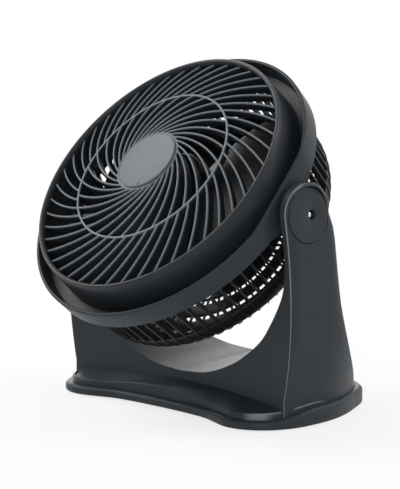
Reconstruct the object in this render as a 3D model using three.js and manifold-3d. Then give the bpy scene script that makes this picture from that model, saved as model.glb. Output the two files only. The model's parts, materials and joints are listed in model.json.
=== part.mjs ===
// Tilting air circulator fan: a round grille head carried between the two arms of a yoke base.
// Millimetres, +X to the right, -Y to the front, +Z up, the floor at z = 0.
import * as THREE from 'three';
import { mergeVertices } from 'three/addons/utils/BufferGeometryUtils.js';
import Module from 'manifold-3d';

const wasm = await Module();
wasm.setup();

// ---------------------------------------------------------------- driving sizes
const SEAT_GAP = 0.3; // between pieces that touch
const RUN_GAP = 0.4; // between pieces that turn against each other

const PIVOT_HEIGHT = 162.5; // tilt axis above the floor
const REST_TILT = 41; // fan axis above the horizontal

const FOOT_HEIGHT = 2.4;
const FOOT_RADIUS = 9;
const FOOT_SINK = 1.2; // how deep a foot sits in its pocket
const PLATE_FLOOR = 3;
const SKIRT_TOP = 7.9;
const SKIRT_EDGE_DROP = 1.9; // height of the rounded top edge of the skirt
const TIER_INSET = 4.2; // upper tier inside the skirt
const TIER_TOP = 13.4;
const TIER_LIFT = 3.8; // how much higher the lip of the tray is in the middle
const TRAY_TOP = 15; // where the sloping tray meets the foot of each arm
const TRAY_LIFT = 6.1; // how much higher it meets the front wall in the middle
const HOUSING_WALL = 2.6;
const SCREW_RADIUS = 1.5;
const SCREW_HEAD_RADIUS = 3.2;
const SCREW_HEAD_HEIGHT = 1.7;
const POST_RADIUS = 4.2;
const POST_HOLE_DEPTH = 9;
const BASE_SCREW_LENGTH = 11;

const BEZEL_TOP_RADIUS = 111.6;
const BEZEL_FLARE = 1.4; // how much wider the bezel is at its foot
const BEZEL_BOTTOM_RADIUS = BEZEL_TOP_RADIUS + BEZEL_FLARE;
const BEZEL_RIDGE = 3; // width of the rounded front edge
const BEZEL_RIDGE_RADIUS = BEZEL_TOP_RADIUS - BEZEL_RIDGE;
const BEZEL_TOP = 43.2; // distances along the fan axis, forward of the tilt axis
const BEZEL_WALL = 2.6;

const RING_CHANNEL = 10; // open channel between bezel and ring
const RING_WALL = 3;
const RING_RADIUS = BEZEL_BOTTOM_RADIUS + RING_CHANNEL + RING_WALL;
const RING_DRAFT = 0.8; // the ring is this much smaller at its rear edge
const RING_FRONT = 26.5;
const RING_REAR = 8.4;
const RING_WEB = 3;
const RING_FLAT_DEPTH = 5.5; // how far the flat sides cut into the ring
const RING_FLAT_HALF = RING_RADIUS - RING_FLAT_DEPTH;
const RING_LEDGE = 4; // how far the web reaches in under the bezel
const RING_BORE = BEZEL_BOTTOM_RADIUS - RING_LEDGE;
const EAR_RADIUS = 17.5;
const EAR_THICKNESS = 3.2;

const ARM_CLEARANCE = 5; // from each flat side of the ring to the arm
const ARM_GAP_HALF = RING_FLAT_HALF + ARM_CLEARANCE;
const ARM_TOP_RADIUS = 24.5; // round end of the arm about the tilt axis
const ARM_FLARE = 13.2; // how far the arm leans out from base to top
const ARM_FLARE_HEIGHT = 48;
const ARM_CROWN = 2.3; // bulge of the arm's outer face between its bevelled edges
const ARM_CAVITY_TOP = 128;
const SADDLE_SLOPE = 4; // degrees by which the saddle floor rises to the rear

const CAP_RADIUS = 21;
const CAP_THICKNESS = 1.8;
const CAP_FACE_X = ARM_GAP_HALF + 6.9;
const CAP_GROOVE = 0.7;
const CAP_LEAN = 4; // degrees, the cap follows the arm's outer face
const CAP_SCREW_OFFSET = 3.5;
const TRUNNION_RADIUS = 8;
const TRUNNION_SEAT = 3; // how deep the trunnion sits in the arm
const TRUNNION_LENGTH = ARM_CLEARANCE + TRUNNION_SEAT;
const WASHER_RADIUS = 15;

const DOME_HEIGHT = 54.8; // front of the grille dome on the axis
const DOME_CURVE = 0.00128; // drop of the dome per square millimetre of radius
const GRILLE_DEPTH = 8;
const RIB_THICKNESS = 1.8;
const INNER_RIBS = 30;
const OUTER_RIBS = 45;
const SPIRAL_RATE = 0.91; // radians per natural log of radius
const SPIRAL_HOOK = 7.5; // extra degrees of turn close to the hub
const SPIRAL_HOOK_LENGTH = 7;
const INNER_RIB_PHASE = 0.4; // degrees at the middle hoop, clockwise from the top
const OUTER_RIB_PHASE = 4;
const HUB_RADIUS = 28.4;
const HOOP_RADIUS = 69.5;
const HOOP_WIDTH = 1.8;
const BADGE_RADIUS = 26.6;
const BADGE_THICKNESS = 1.6;
const BADGE_RIM = 1.2;

const BASKET_RIBS = 30;
const BASKET_RIB_WIDTH = 2.2;
const BASKET_WALL = 2.4;
const BASKET_FLANGE = 7.8; // width of the flange under the ring's web
const BASKET_FRONT_RADIUS = RING_BORE + BASKET_FLANGE;
const BASKET_DRAFT = 3.2; // how much smaller the side is at its rear
const BASKET_SIDE_RADIUS = BASKET_FRONT_RADIUS - BASKET_DRAFT;
const BASKET_SIDE_REAR = -25;
const BASKET_REAR = -57;
const BASKET_ROUNDING = 31.6; // width of the rounded edge between side and rear face
const BASKET_FACE_RADIUS = BASKET_SIDE_RADIUS - BASKET_ROUNDING;
const BASKET_PLATE_RADIUS = 46;
const GRILLE_SCREW_COUNT = 4;
const GRILLE_SCREW_CIRCLE = RING_BORE + 4.2;
const GRILLE_BOSS_HEIGHT = 5.6;
const BOSS_RADIUS = 4.2;

const MOTOR_RADIUS = 36;
const MOTOR_LENGTH = 46;
const MOTOR_WALL = 1.4;
const SHAFT_RADIUS = 4;
const BEARING_RADIUS = 9;
const BEARING_WIDTH = 6;
const STATOR_BORE_RADIUS = 17;
const STATOR_LENGTH = 26;
const MOTOR_SCREW_COUNT = 3;
const MOTOR_SCREW_CIRCLE = 22;

const BLADE_COUNT = 3;
const BLADE_RADIUS = 101;
const BLADE_ROOT_SPAN = 100; // degrees round the axis
const BLADE_TIP_SPAN = 108;
const BLADE_SWEEP = 22; // degrees by which the tip leads the root
const BLADE_ROOT_HEIGHT = 25; // along the axis from edge to edge
const BLADE_TIP_HEIGHT = 19;
const BLADE_MIDDLE = 13.5;
const BLADE_CAMBER = 3;
const BLADE_TIP_ROUNDING = 9;
const BLADE_THICKNESS = 2.2;
const IMPELLER_HUB_RADIUS = 30;
const IMPELLER_HUB_REAR = -2;
const IMPELLER_HUB_FRONT = 29;
const IMPELLER_ANGLE = 30; // degrees at rest
const SPINNER_RADIUS = 13;
const SPINNER_LENGTH = 9;

const COVER_DEPTH = 15;
const COVER_RADIUS = 43;
const COVER_WALL = 2.2;
const SWITCH_SIZE = 26;
const SWITCH_DEPTH = 9;
const KNOB_RADIUS = 16;
const KNOB_LENGTH = 12;
const KNOB_STEM_RADIUS = 3;
const GLAND_RADIUS = 4.2;
const GLAND_LENGTH = 11;

// the outlines of the base are drawn for a ring of this half width and follow the real one
const DRAWN_FLAT_HALF = 120.5;
const widened = (points) => points.map(([x, ...rest]) => [(x * RING_FLAT_HALF) / DRAWN_FLAT_HALF, ...rest]);

// half outline of the skirt seen from above, from the front middle round to the rear corner,
// measured from the tilt axis
const SKIRT_OUTLINE = widened([
  [0, -26.5], [31, -27.4], [52, -29.8], [68, -35], [83, -39.6], [97, -38.8], [109, -33], [118.5, -23],
  [125, -7], [126.5, 14], [123, 36], [116, 57], [107, 78], [94.5, 104], [80, 117.5],
]);
// front wall of the housing from the middle to the arm's front corner
const WALL_OUTLINE = widened([
  [0, -5], [30, -5.3], [55, -6.2], [76, -7.8], [92, -9.5], [104, -10.8], [112, -11.8],
]);
const ARM_FRONT_Y = -12.5; // front corner of the arm at its foot
const ARM_FRONT_REACH = 11.7; // how much further forward the corner is at the tilt axis
const SIDE_X = RING_FLAT_HALF - 2.5; // outer face of the housing at its foot
const SIDE_CURVE_START = 27;
const SIDE_CURVE = 0.0052;
// rear edge of the housing: height, distance behind the tilt axis
const REAR_LINE = [[16, 103], [29, 85], [54, 63], [86, 45.5], [117, 37], [148, 31], [162.5, 24.5]];
// top edge of the front wall, which is the saddle under the head: across, height
const SADDLE_LINE = widened([
  [0, 28.2], [25, 30.1], [39, 33.6], [51, 38], [64, 44], [75, 50.8], [86, 58.6], [95, 66.5],
  [104, 78], [113, 91], [119, 101.5], [122.6, 112], [124.3, 122],
]);

// ---------------------------------------------------------------- colours
const CHARCOAL = { color: 0x3a3e42, roughness: 0.5, metalness: 0 };
const DARK_PLASTIC = { color: 0x232527, roughness: 0.6, metalness: 0 };
const BADGE_GREY = { color: 0x5b6068, roughness: 0.4, metalness: 0.2 };
const RUBBER = { color: 0x1c1c1c, roughness: 0.9, metalness: 0 };
const STEEL = { color: 0xb4b7ba, roughness: 0.3, metalness: 1 };
const COPPER_COILS = { color: 0x6b4a36, roughness: 0.5, metalness: 0.6 };

// sides of the turned pieces
const LARGE_SIDES = 60;
const MIDDLE_SIDES = 28;
const SMALL_SIDES = 20;
const SCREW_SIDES = 8;

// ---------------------------------------------------------------- helpers
const rad = THREE.MathUtils.degToRad;

function named(name, geometry, finish) {
  const mesh = new THREE.Mesh(geometry, new THREE.MeshStandardMaterial(finish));
  mesh.name = name;
  return mesh;
}

// one closed geometry as a solid that can be cut and joined
function solid(geometry) {
  const bare = geometry.clone();
  bare.deleteAttribute('normal');
  bare.deleteAttribute('uv');
  const merged = mergeVertices(bare, 1e-4);
  return new wasm.Manifold(new wasm.Mesh({
    numProp: 3,
    vertProperties: Float32Array.from(merged.attributes.position.array),
    triVerts: Uint32Array.from(merged.index.array),
  }));
}

function geometryOf(body) {
  const mesh = body.getMesh();
  const geometry = new THREE.BufferGeometry();
  geometry.setAttribute('position', new THREE.BufferAttribute(Float32Array.from(mesh.vertProperties), 3));
  geometry.setIndex(Array.from(mesh.triVerts));
  geometry.computeVertexNormals();
  return geometry;
}

function joined(...geometries) {
  return geometryOf(geometries.map(solid).reduce((sum, next) => sum.add(next)));
}

function cut(geometry, ...tools) {
  return geometryOf(tools.map(solid).reduce((rest, tool) => rest.subtract(tool), solid(geometry)));
}

// a turned piece about Z from [radius, height] points, counter-clockwise
function turned(profile, segments = MIDDLE_SIDES) {
  const points = profile.map(([radius, height]) => new THREE.Vector2(radius, height));
  return new THREE.LatheGeometry(points, segments).rotateX(Math.PI / 2);
}

function disc(radius, from, to, segments = MIDDLE_SIDES) {
  return turned([[0, from], [radius, from], [radius, to], [0, to]], segments);
}

function tube(inner, outer, from, to, segments = MIDDLE_SIDES) {
  return turned([[inner, from], [outer, from], [outer, to], [inner, to], [inner, from]], segments);
}

function box(width, depth, height, x = 0, y = 0, z = 0) {
  return new THREE.BoxGeometry(width, depth, height).translate(x, y, z);
}

// straight interpolation in a list of [key, value] pairs
function along(table, key) {
  const last = table.length - 1;
  const at = table.findIndex(([start], i) => i === last || key < table[i + 1][0]);
  const i = Math.min(at, last - 1);
  const [start, from] = table[i];
  const [end, to] = table[i + 1];
  return THREE.MathUtils.lerp(from, to, THREE.MathUtils.clamp((key - start) / (end - start), 0, 1));
}

// a smooth half outline mirrored into a closed one, counter-clockwise from above
function mirrored(half, steps) {
  const curve = new THREE.SplineCurve(half.map(([x, y]) => new THREE.Vector2(x, y)));
  const right = curve.getPoints(steps * (half.length - 1)).map(({ x, y }) => [Math.max(x, 0), y]);
  right.push([0, right[right.length - 1][1]]);
  const left = right.slice(1, -1).reverse().map(([x, y]) => [-x, y]);
  return [...right, ...left];
}

// moves every edge of a closed counter-clockwise outline inwards
function inset(outline, distance) {
  const count = outline.length;
  return outline.map(([x, y], i) => {
    const [beforeX, beforeY] = outline[(i + count - 1) % count];
    const [afterX, afterY] = outline[(i + 1) % count];
    const first = new THREE.Vector2(x - beforeX, y - beforeY).normalize();
    const second = new THREE.Vector2(afterX - x, afterY - y).normalize();
    const middle = first.clone().add(second).normalize();
    const reach = distance / Math.max(middle.dot(first), 0.4);
    return [x - middle.y * reach, y + middle.x * reach];
  });
}

// closed skin over outlines of equal count, lowest first; a point may have a lift of its own
function loft(sections) {
  const count = sections[0].outline.length;
  const positions = sections.flatMap(({ z, outline }) =>
    outline.flatMap(([x, y, lift = 0]) => [x, y, z + lift]));
  const index = [];
  for (let level = 0; level + 1 < sections.length; level += 1) {
    for (let i = 0; i < count; i += 1) {
      const a = level * count + i;
      const b = level * count + ((i + 1) % count);
      index.push(a, b, b + count, a, b + count, a + count);
    }
  }
  const cap = (outline, offset, flip) => {
    const points = outline.map(([x, y]) => new THREE.Vector2(x, y));
    for (const [a, b, c] of THREE.ShapeUtils.triangulateShape(points, [])) {
      index.push(offset + a, offset + (flip ? c : b), offset + (flip ? b : c));
    }
  };
  cap(sections[0].outline, 0, true);
  cap(sections[sections.length - 1].outline, (sections.length - 1) * count, false);
  const geometry = new THREE.BufferGeometry();
  geometry.setAttribute('position', new THREE.Float32BufferAttribute(positions, 3));
  geometry.setIndex(index);
  return geometry;
}

// a screw along Z with its head below, tip up
function screw(length) {
  return turned([
    [0, 0], [SCREW_HEAD_RADIUS, 0], [SCREW_HEAD_RADIUS, SCREW_HEAD_HEIGHT],
    [SCREW_RADIUS, SCREW_HEAD_HEIGHT], [SCREW_RADIUS, length], [0, length],
  ], SCREW_SIDES);
}

function around(count, radius, first = 0) {
  return Array.from({ length: count }, (_, i) => {
    const angle = rad(first + (360 * i) / count);
    return [radius * Math.cos(angle), radius * Math.sin(angle)];
  });
}

// the tilt axis lies a little in front of the middle of the overall depth
const frontReach = BEZEL_TOP * Math.cos(rad(REST_TILT)) + BEZEL_TOP_RADIUS * Math.sin(rad(REST_TILT));
const rearReach = SKIRT_OUTLINE[SKIRT_OUTLINE.length - 1][1];
const pivotY = (frontReach - rearReach) / 2;

// ---------------------------------------------------------------- base
const OUTLINE_STEPS = 1;
const skirtOutline = mirrored(SKIRT_OUTLINE, OUTLINE_STEPS);
const skirtBottom = FOOT_HEIGHT - FOOT_SINK;
const plateTop = skirtBottom + PLATE_FLOOR;
const fourPlaces = (front, rear) => widened([front, rear]).flatMap(([x, y]) => [[x, y], [-x, y]]);
const footPlaces = fourPlaces([92, -18], [68, 96]);
const baseScrewPlaces = fourPlaces([80, 12], [40, 90]);

// half outline of the housing above the tray at one height
function housingHalf(z) {
  const rise = THREE.MathUtils.clamp((z - TIER_TOP) / (PIVOT_HEIGHT - TIER_TOP), 0, 1);
  const above = z - PIVOT_HEIGHT;
  const round = Math.sqrt(Math.max(ARM_TOP_RADIUS ** 2 - above ** 2, 4));
  const front = above > 0 ? -round : ARM_FRONT_Y - ARM_FRONT_REACH * rise ** 2.6;
  const rear = above > 0 ? round : along(REAR_LINE, z);
  const lean = ARM_FLARE * (1 - Math.exp(-(z - TIER_TOP) / ARM_FLARE_HEIGHT));
  const flatten = THREE.MathUtils.clamp((150 - z) / 70, 0, 1);
  const crown = ARM_CROWN * THREE.MathUtils.smoothstep(z, 20, 140);
  const sideX = (y) => SIDE_X + lean - SIDE_CURVE * Math.max(0, y - SIDE_CURVE_START) ** 2;
  const corner = sideX(front);
  const wall = WALL_OUTLINE.map(([x, y]) => [
    (x / SIDE_X) * corner,
    front + (y - ARM_FRONT_Y) * flatten,
  ]);
  const sides = [0.1, 0.28, 0.46, 0.64, 0.8, 0.92].map((share) => {
    const y = front + share * (rear - front);
    return [sideX(y) + crown * (share > 0.9 ? 0.4 : 1), y];
  });
  return [...wall, [corner, front], ...sides, [sideX(rear) - 3, rear]];
}

function housingOutline(z) {
  return mirrored(housingHalf(z), OUTLINE_STEPS);
}

// raises the front of an outline towards its middle
function crowned(outline, lift, reach) {
  return outline.map(([x, y]) => [x, y, y < 0 ? lift * Math.max(0, 1 - (x / reach) ** 2) : 0]);
}

function tunnel(grow) {
  const line = new THREE.SplineCurve(SADDLE_LINE.map(([x, z]) => new THREE.Vector2(x, z)));
  const right = line.getPoints(12).map(({ x, y }) => [x, y]);
  const top = PIVOT_HEIGHT + 2 * ARM_TOP_RADIUS;
  right.push([ARM_GAP_HALF, PIVOT_HEIGHT - ARM_TOP_RADIUS], [ARM_GAP_HALF, top]);
  const left = right.slice(1).reverse().map(([x, z]) => [-x, z]);
  const outline = inset([...right, ...left], -grow);
  const shape = new THREE.Shape(outline.map(([x, z]) => new THREE.Vector2(x, z)));
  const length = 400;
  const body = new THREE.ExtrudeGeometry(shape, { depth: length, bevelEnabled: false });
  body.rotateX(Math.PI / 2).translate(0, length / 2, -SADDLE_LINE[0][1]);
  return body.rotateX(rad(SADDLE_SLOPE)).translate(0, WALL_OUTLINE[0][1], SADDLE_LINE[0][1]);
}

// a post under the saddle or the tray that takes a screw from below
function screwPost([x, y]) {
  const bottom = plateTop + SEAT_GAP;
  const post = disc(POST_RADIUS, bottom, PIVOT_HEIGHT, SCREW_SIDES).translate(x, y, 0);
  const hole = disc(SCREW_RADIUS + SEAT_GAP, bottom - 1, bottom + POST_HOLE_DEPTH, SCREW_SIDES);
  return [solid(post), solid(hole.translate(x, y, 0))];
}

// turns a piece made along Z so that it points out sideways, +1 for the right and -1 for the left
function sideways(geometry, side) {
  return geometry.rotateY((side * Math.PI) / 2);
}

// the same for what follows the leaning outer face of an arm
function leaning(geometry, side) {
  geometry.translate(0, 0, -CAP_FACE_X).rotateY(-side * rad(CAP_LEAN)).translate(0, 0, CAP_FACE_X);
  return sideways(geometry, side);
}

function capPocket(side) {
  const depth = 6;
  const floor = CAP_FACE_X - CAP_THICKNESS - SEAT_GAP;
  const pocket = disc(CAP_RADIUS + SEAT_GAP, floor, floor + depth);
  const hole = disc(SCREW_RADIUS + SEAT_GAP, floor - 2, floor + 1, SCREW_SIDES);
  hole.translate(0, CAP_SCREW_OFFSET, 0);
  return [pocket, hole].map((piece) => leaning(piece, side).translate(0, 0, PIVOT_HEIGHT));
}

function trunnionPocket(side) {
  const bottom = RING_FLAT_HALF + TRUNNION_LENGTH + SEAT_GAP;
  const hole = disc(TRUNNION_RADIUS + RUN_GAP, ARM_GAP_HALF - 3, bottom, SMALL_SIDES);
  return sideways(hole, side).translate(0, 0, PIVOT_HEIGHT);
}

// heights of the housing's outlines above the tray, and of its round top above the tilt axis
const HOUSING_LEVELS = [22, 30, 42, 60, 86, 117, 148];
const ROUND_TOP_LEVELS = [0, 9, 17, 22, ARM_TOP_RADIUS - 0.1];
const TIER_EDGE = 0.9; // rounding of the tier's top edge
const LIP_REACH = 62; // where the raised lip is level again
const TRAY_REACH = SIDE_X;

function housingSections(foot, tier, shrink) {
  const tray = crowned(housingOutline(TRAY_TOP), TRAY_LIFT, TRAY_REACH);
  const levels = HOUSING_LEVELS.filter((z) => shrink === 0 || z < ARM_CAVITY_TOP);
  const edge = TIER_TOP - TIER_EDGE - shrink;
  const walls = [
    { z: TRAY_TOP - shrink / 2, outline: tray },
    ...levels.map((z) => ({ z, outline: housingOutline(z) })),
  ];
  return [
    { z: foot, outline: tier },
    { z: edge, outline: crowned(tier, TIER_LIFT, LIP_REACH) },
    { z: edge + TIER_EDGE, outline: crowned(inset(tier, TIER_EDGE), TIER_LIFT, LIP_REACH) },
    ...walls.map(({ z, outline }) => ({
      z,
      outline: inset(outline, shrink).map(([x, y], i) => [x, y, outline[i][2] ?? 0]),
    })),
  ];
}

function makeHousing() {
  const tier = inset(skirtOutline, TIER_INSET);
  const foot = SKIRT_TOP + SEAT_GAP;
  const roundTop = ROUND_TOP_LEVELS.map((rise) => PIVOT_HEIGHT + rise);
  const outside = loft([
    ...housingSections(foot, tier, 0),
    ...roundTop.map((z) => ({ z, outline: housingOutline(z) })),
  ]);
  const inside = loft(housingSections(foot - 1, inset(tier, HOUSING_WALL), HOUSING_WALL));
  const above = solid(tunnel(0));
  const cavity = solid(inside).subtract(solid(tunnel(HOUSING_WALL)));
  const filled = solid(outside).subtract(above);
  const room = filled.add(solid(loft([
    { z: plateTop, outline: inset(tier, HOUSING_WALL) },
    { z: foot + 1, outline: inset(tier, HOUSING_WALL) },
  ])));
  let body = filled.subtract(cavity);
  for (const [post, hole] of baseScrewPlaces.map(screwPost)) {
    body = body.add(post.intersect(room)).subtract(hole);
  }
  for (const side of [1, -1]) {
    for (const tool of [...capPocket(side), trunnionPocket(side)]) {
      body = body.subtract(solid(tool));
    }
  }
  return named('yoke_housing', geometryOf(body), CHARCOAL);
}

function makeBasePlate() {
  const edge = SKIRT_TOP - SKIRT_EDGE_DROP;
  const outside = loft([
    { z: skirtBottom, outline: inset(skirtOutline, 0.8) },
    { z: skirtBottom + 0.8, outline: skirtOutline },
    { z: edge, outline: skirtOutline },
    { z: SKIRT_TOP - 0.7, outline: inset(skirtOutline, 0.9) },
    { z: SKIRT_TOP, outline: inset(skirtOutline, 2.6) },
  ]);
  const rim = TIER_INSET + HOUSING_WALL + 0.6;
  const inside = loft([
    { z: plateTop, outline: inset(skirtOutline, rim) },
    { z: SKIRT_TOP + 1, outline: inset(skirtOutline, rim) },
  ]);
  const pockets = footPlaces.map(([x, y]) =>
    disc(FOOT_RADIUS + SEAT_GAP, 0, FOOT_HEIGHT + SEAT_GAP, SMALL_SIDES).translate(x, y, 0));
  const holes = baseScrewPlaces.flatMap(([x, y]) => [
    disc(SCREW_HEAD_RADIUS + SEAT_GAP, 0, skirtBottom + SCREW_HEAD_HEIGHT, SCREW_SIDES).translate(x, y, 0),
    disc(SCREW_RADIUS + SEAT_GAP, 0, plateTop + 1, SCREW_SIDES).translate(x, y, 0),
  ]);
  return named('base_plate', cut(outside, inside, ...pockets, ...holes), CHARCOAL);
}

function makeFoot(number, [x, y]) {
  const shape = turned([
    [0, 0], [FOOT_RADIUS - 0.6, 0], [FOOT_RADIUS, 0.6], [FOOT_RADIUS, FOOT_HEIGHT], [0, FOOT_HEIGHT],
  ], SMALL_SIDES);
  const foot = named(`foot_${number}`, shape, RUBBER);
  foot.position.set(x, y, 0);
  return foot;
}

function makeBaseScrew(number, [x, y]) {
  const piece = named(`base_screw_${number}`, screw(BASE_SCREW_LENGTH), STEEL);
  piece.position.set(x, y, skirtBottom - SEAT_GAP);
  return piece;
}

function makePivotCap(name, side) {
  const back = CAP_FACE_X - CAP_THICKNESS;
  const step = CAP_FACE_X - CAP_GROOVE;
  const cap = turned([
    [0, back], [CAP_RADIUS, back], [CAP_RADIUS, step], [CAP_RADIUS - 1.6, step],
    [CAP_RADIUS - 2, CAP_FACE_X], [0, CAP_FACE_X],
  ]);
  const hole = disc(SCREW_HEAD_RADIUS + SEAT_GAP, back - 1, CAP_FACE_X + 1, SCREW_SIDES);
  hole.translate(0, CAP_SCREW_OFFSET, 0);
  const piece = named(`pivot_cap_${name}`, leaning(cut(cap, hole), side), CHARCOAL);
  piece.position.z = PIVOT_HEIGHT;
  return piece;
}

function makeCapScrew(name, side) {
  const back = CAP_FACE_X - CAP_THICKNESS;
  const shape = screw(SCREW_HEAD_HEIGHT + 1.6).rotateX(Math.PI);
  shape.translate(0, CAP_SCREW_OFFSET, back + SCREW_HEAD_HEIGHT - 0.1);
  const piece = named(`cap_screw_${name}`, leaning(shape, side), STEEL);
  piece.position.z = PIVOT_HEIGHT;
  return piece;
}

function makeWasher(name, side) {
  const start = RING_FLAT_HALF + SEAT_GAP;
  const end = ARM_GAP_HALF - RUN_GAP;
  const shape = tube(TRUNNION_RADIUS + RUN_GAP, WASHER_RADIUS, start, end, SMALL_SIDES);
  const piece = named(`pivot_washer_${name}`, sideways(shape, side), DARK_PLASTIC);
  piece.position.z = PIVOT_HEIGHT;
  return piece;
}

function makeBase() {
  const base = new THREE.Group();
  base.add(makeHousing(), makeBasePlate());
  footPlaces.forEach((place, i) => base.add(makeFoot(i + 1, place)));
  baseScrewPlaces.forEach((place, i) => base.add(makeBaseScrew(i + 1, place)));
  for (const [name, side] of [['right', 1], ['left', -1]]) {
    base.add(makePivotCap(name, side), makeCapScrew(name, side), makeWasher(name, side));
  }
  base.position.y = pivotY;
  return base;
}

// ---------------------------------------------------------------- head, Z along the fan axis
const webTop = RING_REAR + RING_WEB;

// the plate behind a flat side of the ring that reaches back round the tilt axis
function earWithTrunnion(side) {
  const ear = new THREE.Shape();
  ear.moveTo(webTop, -34);
  ear.lineTo(webTop, 34);
  ear.lineTo(RING_REAR, 32);
  ear.lineTo(3, EAR_RADIUS + 2);
  ear.absarc(0, 0, EAR_RADIUS, Math.PI / 2, (3 * Math.PI) / 2, false);
  ear.lineTo(3, -EAR_RADIUS - 2);
  ear.lineTo(RING_REAR, -32);
  const plate = new THREE.ExtrudeGeometry(ear, {
    depth: EAR_THICKNESS, bevelEnabled: false, curveSegments: 6,
  });
  plate.translate(0, 0, side > 0 ? -RING_FLAT_HALF : RING_FLAT_HALF - EAR_THICKNESS).rotateY(-Math.PI / 2);
  const end = RING_FLAT_HALF + TRUNNION_LENGTH;
  const pin = sideways(disc(TRUNNION_RADIUS, RING_FLAT_HALF - 1, end, SMALL_SIDES), side);
  return [plate, pin];
}

const grilleScrewPlaces = around(GRILLE_SCREW_COUNT, GRILLE_SCREW_CIRCLE, 45);

function makeOuterRing() {
  const span = 2 * RING_RADIUS + 10;
  const edge = 1;
  const outside = solid(turned([
    [0, RING_REAR], [RING_RADIUS - RING_DRAFT - edge, RING_REAR],
    [RING_RADIUS - RING_DRAFT, RING_REAR + edge],
    [RING_RADIUS, RING_FRONT - edge], [RING_RADIUS - edge, RING_FRONT], [0, RING_FRONT],
  ], LARGE_SIDES)).intersect(solid(box(2 * RING_FLAT_HALF, span, 100)));
  const inside = solid(disc(RING_RADIUS - RING_WALL, webTop, RING_FRONT + 1, LARGE_SIDES))
    .intersect(solid(box(2 * (RING_FLAT_HALF - RING_WALL), span, 100)));
  let body = outside.subtract(inside).subtract(solid(disc(RING_BORE, 0, RING_FRONT + 1, LARGE_SIDES)));
  for (const side of [1, -1]) {
    for (const piece of earWithTrunnion(side)) {
      body = body.add(solid(piece));
    }
  }
  for (const [x, y] of grilleScrewPlaces) {
    const hole = disc(SCREW_RADIUS + SEAT_GAP, RING_REAR - 1, RING_REAR + 2.4, SCREW_SIDES);
    body = body.subtract(solid(hole.translate(x, y, 0)));
  }
  return named('ring_housing', geometryOf(body), CHARCOAL);
}

const domeAt = (radius) => DOME_HEIGHT - DOME_CURVE * radius ** 2;

// clockwise angle of a rib from the top, relative to where it meets the middle hoop
function spiral(radius) {
  const hook = (r) => SPIRAL_HOOK * Math.exp(-(r - HUB_RADIUS) / SPIRAL_HOOK_LENGTH);
  const turn = THREE.MathUtils.radToDeg(SPIRAL_RATE * Math.log(radius / HOOP_RADIUS));
  return turn - hook(radius) + hook(HOOP_RADIUS);
}

// half the angle that a rib takes up at a radius
function ribHalfAngle(radius) {
  const step = 0.1;
  const slope = radius * rad(spiral(radius + step) - spiral(radius)) / step;
  return THREE.MathUtils.radToDeg((RIB_THICKNESS / 2) * Math.hypot(1, slope) / radius);
}

function grilleOpening(first, pitch, from, to, steps) {
  const radii = Array.from({ length: steps + 1 }, (_, i) => from * (to / from) ** (i / steps));
  const at = (radius, clockwise) => {
    const angle = Math.PI / 2 - rad(clockwise);
    return new THREE.Vector2(radius * Math.cos(angle), radius * Math.sin(angle));
  };
  const near = radii.map((r) => at(r, first + spiral(r) + ribHalfAngle(r)));
  const far = radii.map((r) => at(r, first + pitch + spiral(r) - ribHalfAngle(r)));
  return new THREE.Path([...near, ...far.reverse()]);
}

function makeFrontGrille() {
  const rimRadius = BEZEL_RIDGE_RADIUS + 1.6;
  const shape = new THREE.Shape();
  shape.absarc(0, 0, rimRadius, 0, 2 * Math.PI, false);
  const openings = (count, phase, from, to, steps) => {
    for (let i = 0; i < count; i += 1) {
      shape.holes.push(grilleOpening(phase + (360 * i) / count, 360 / count, from, to, steps));
    }
  };
  openings(INNER_RIBS, INNER_RIB_PHASE, HUB_RADIUS, HOOP_RADIUS - HOOP_WIDTH / 2, 4);
  openings(OUTER_RIBS, OUTER_RIB_PHASE, HOOP_RADIUS + HOOP_WIDTH / 2, BEZEL_RIDGE_RADIUS - 1.4, 3);
  const web = new THREE.ExtrudeGeometry(shape, {
    depth: GRILLE_DEPTH, bevelEnabled: false, curveSegments: LARGE_SIDES / 2,
  });
  const position = web.attributes.position;
  for (let i = 0; i < position.count; i += 1) {
    const radius = Math.hypot(position.getX(i), position.getY(i));
    position.setZ(i, position.getZ(i) + domeAt(radius) - GRILLE_DEPTH);
  }
  const bottom = webTop + SEAT_GAP;
  const ridge = BEZEL_TOP - 0.7;
  const bezel = turned([
    [BEZEL_BOTTOM_RADIUS - BEZEL_WALL, bottom], [BEZEL_BOTTOM_RADIUS, bottom],
    [BEZEL_TOP_RADIUS, BEZEL_TOP], [BEZEL_RIDGE_RADIUS, ridge],
    [BEZEL_RIDGE_RADIUS - 0.3, ridge - 2], [BEZEL_TOP_RADIUS - BEZEL_WALL, ridge - 5],
    [BEZEL_BOTTOM_RADIUS - BEZEL_WALL, bottom],
  ], LARGE_SIDES);
  return named('front_grille', joined(web, bezel), CHARCOAL);
}

function makeBadge() {
  const seat = domeAt(HUB_RADIUS) + SEAT_GAP; // the hub under the badge is flat
  const face = seat + BADGE_THICKNESS;
  const shape = turned([
    [0, seat], [BADGE_RADIUS, seat], [BADGE_RADIUS, face - 0.3], [BADGE_RADIUS - 0.4, face],
    [BADGE_RADIUS - BADGE_RIM, face], [BADGE_RADIUS - BADGE_RIM - 0.2, face - 0.5], [0, face - 0.5],
  ]);
  return named('grille_badge', shape, BADGE_GREY);
}

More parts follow.
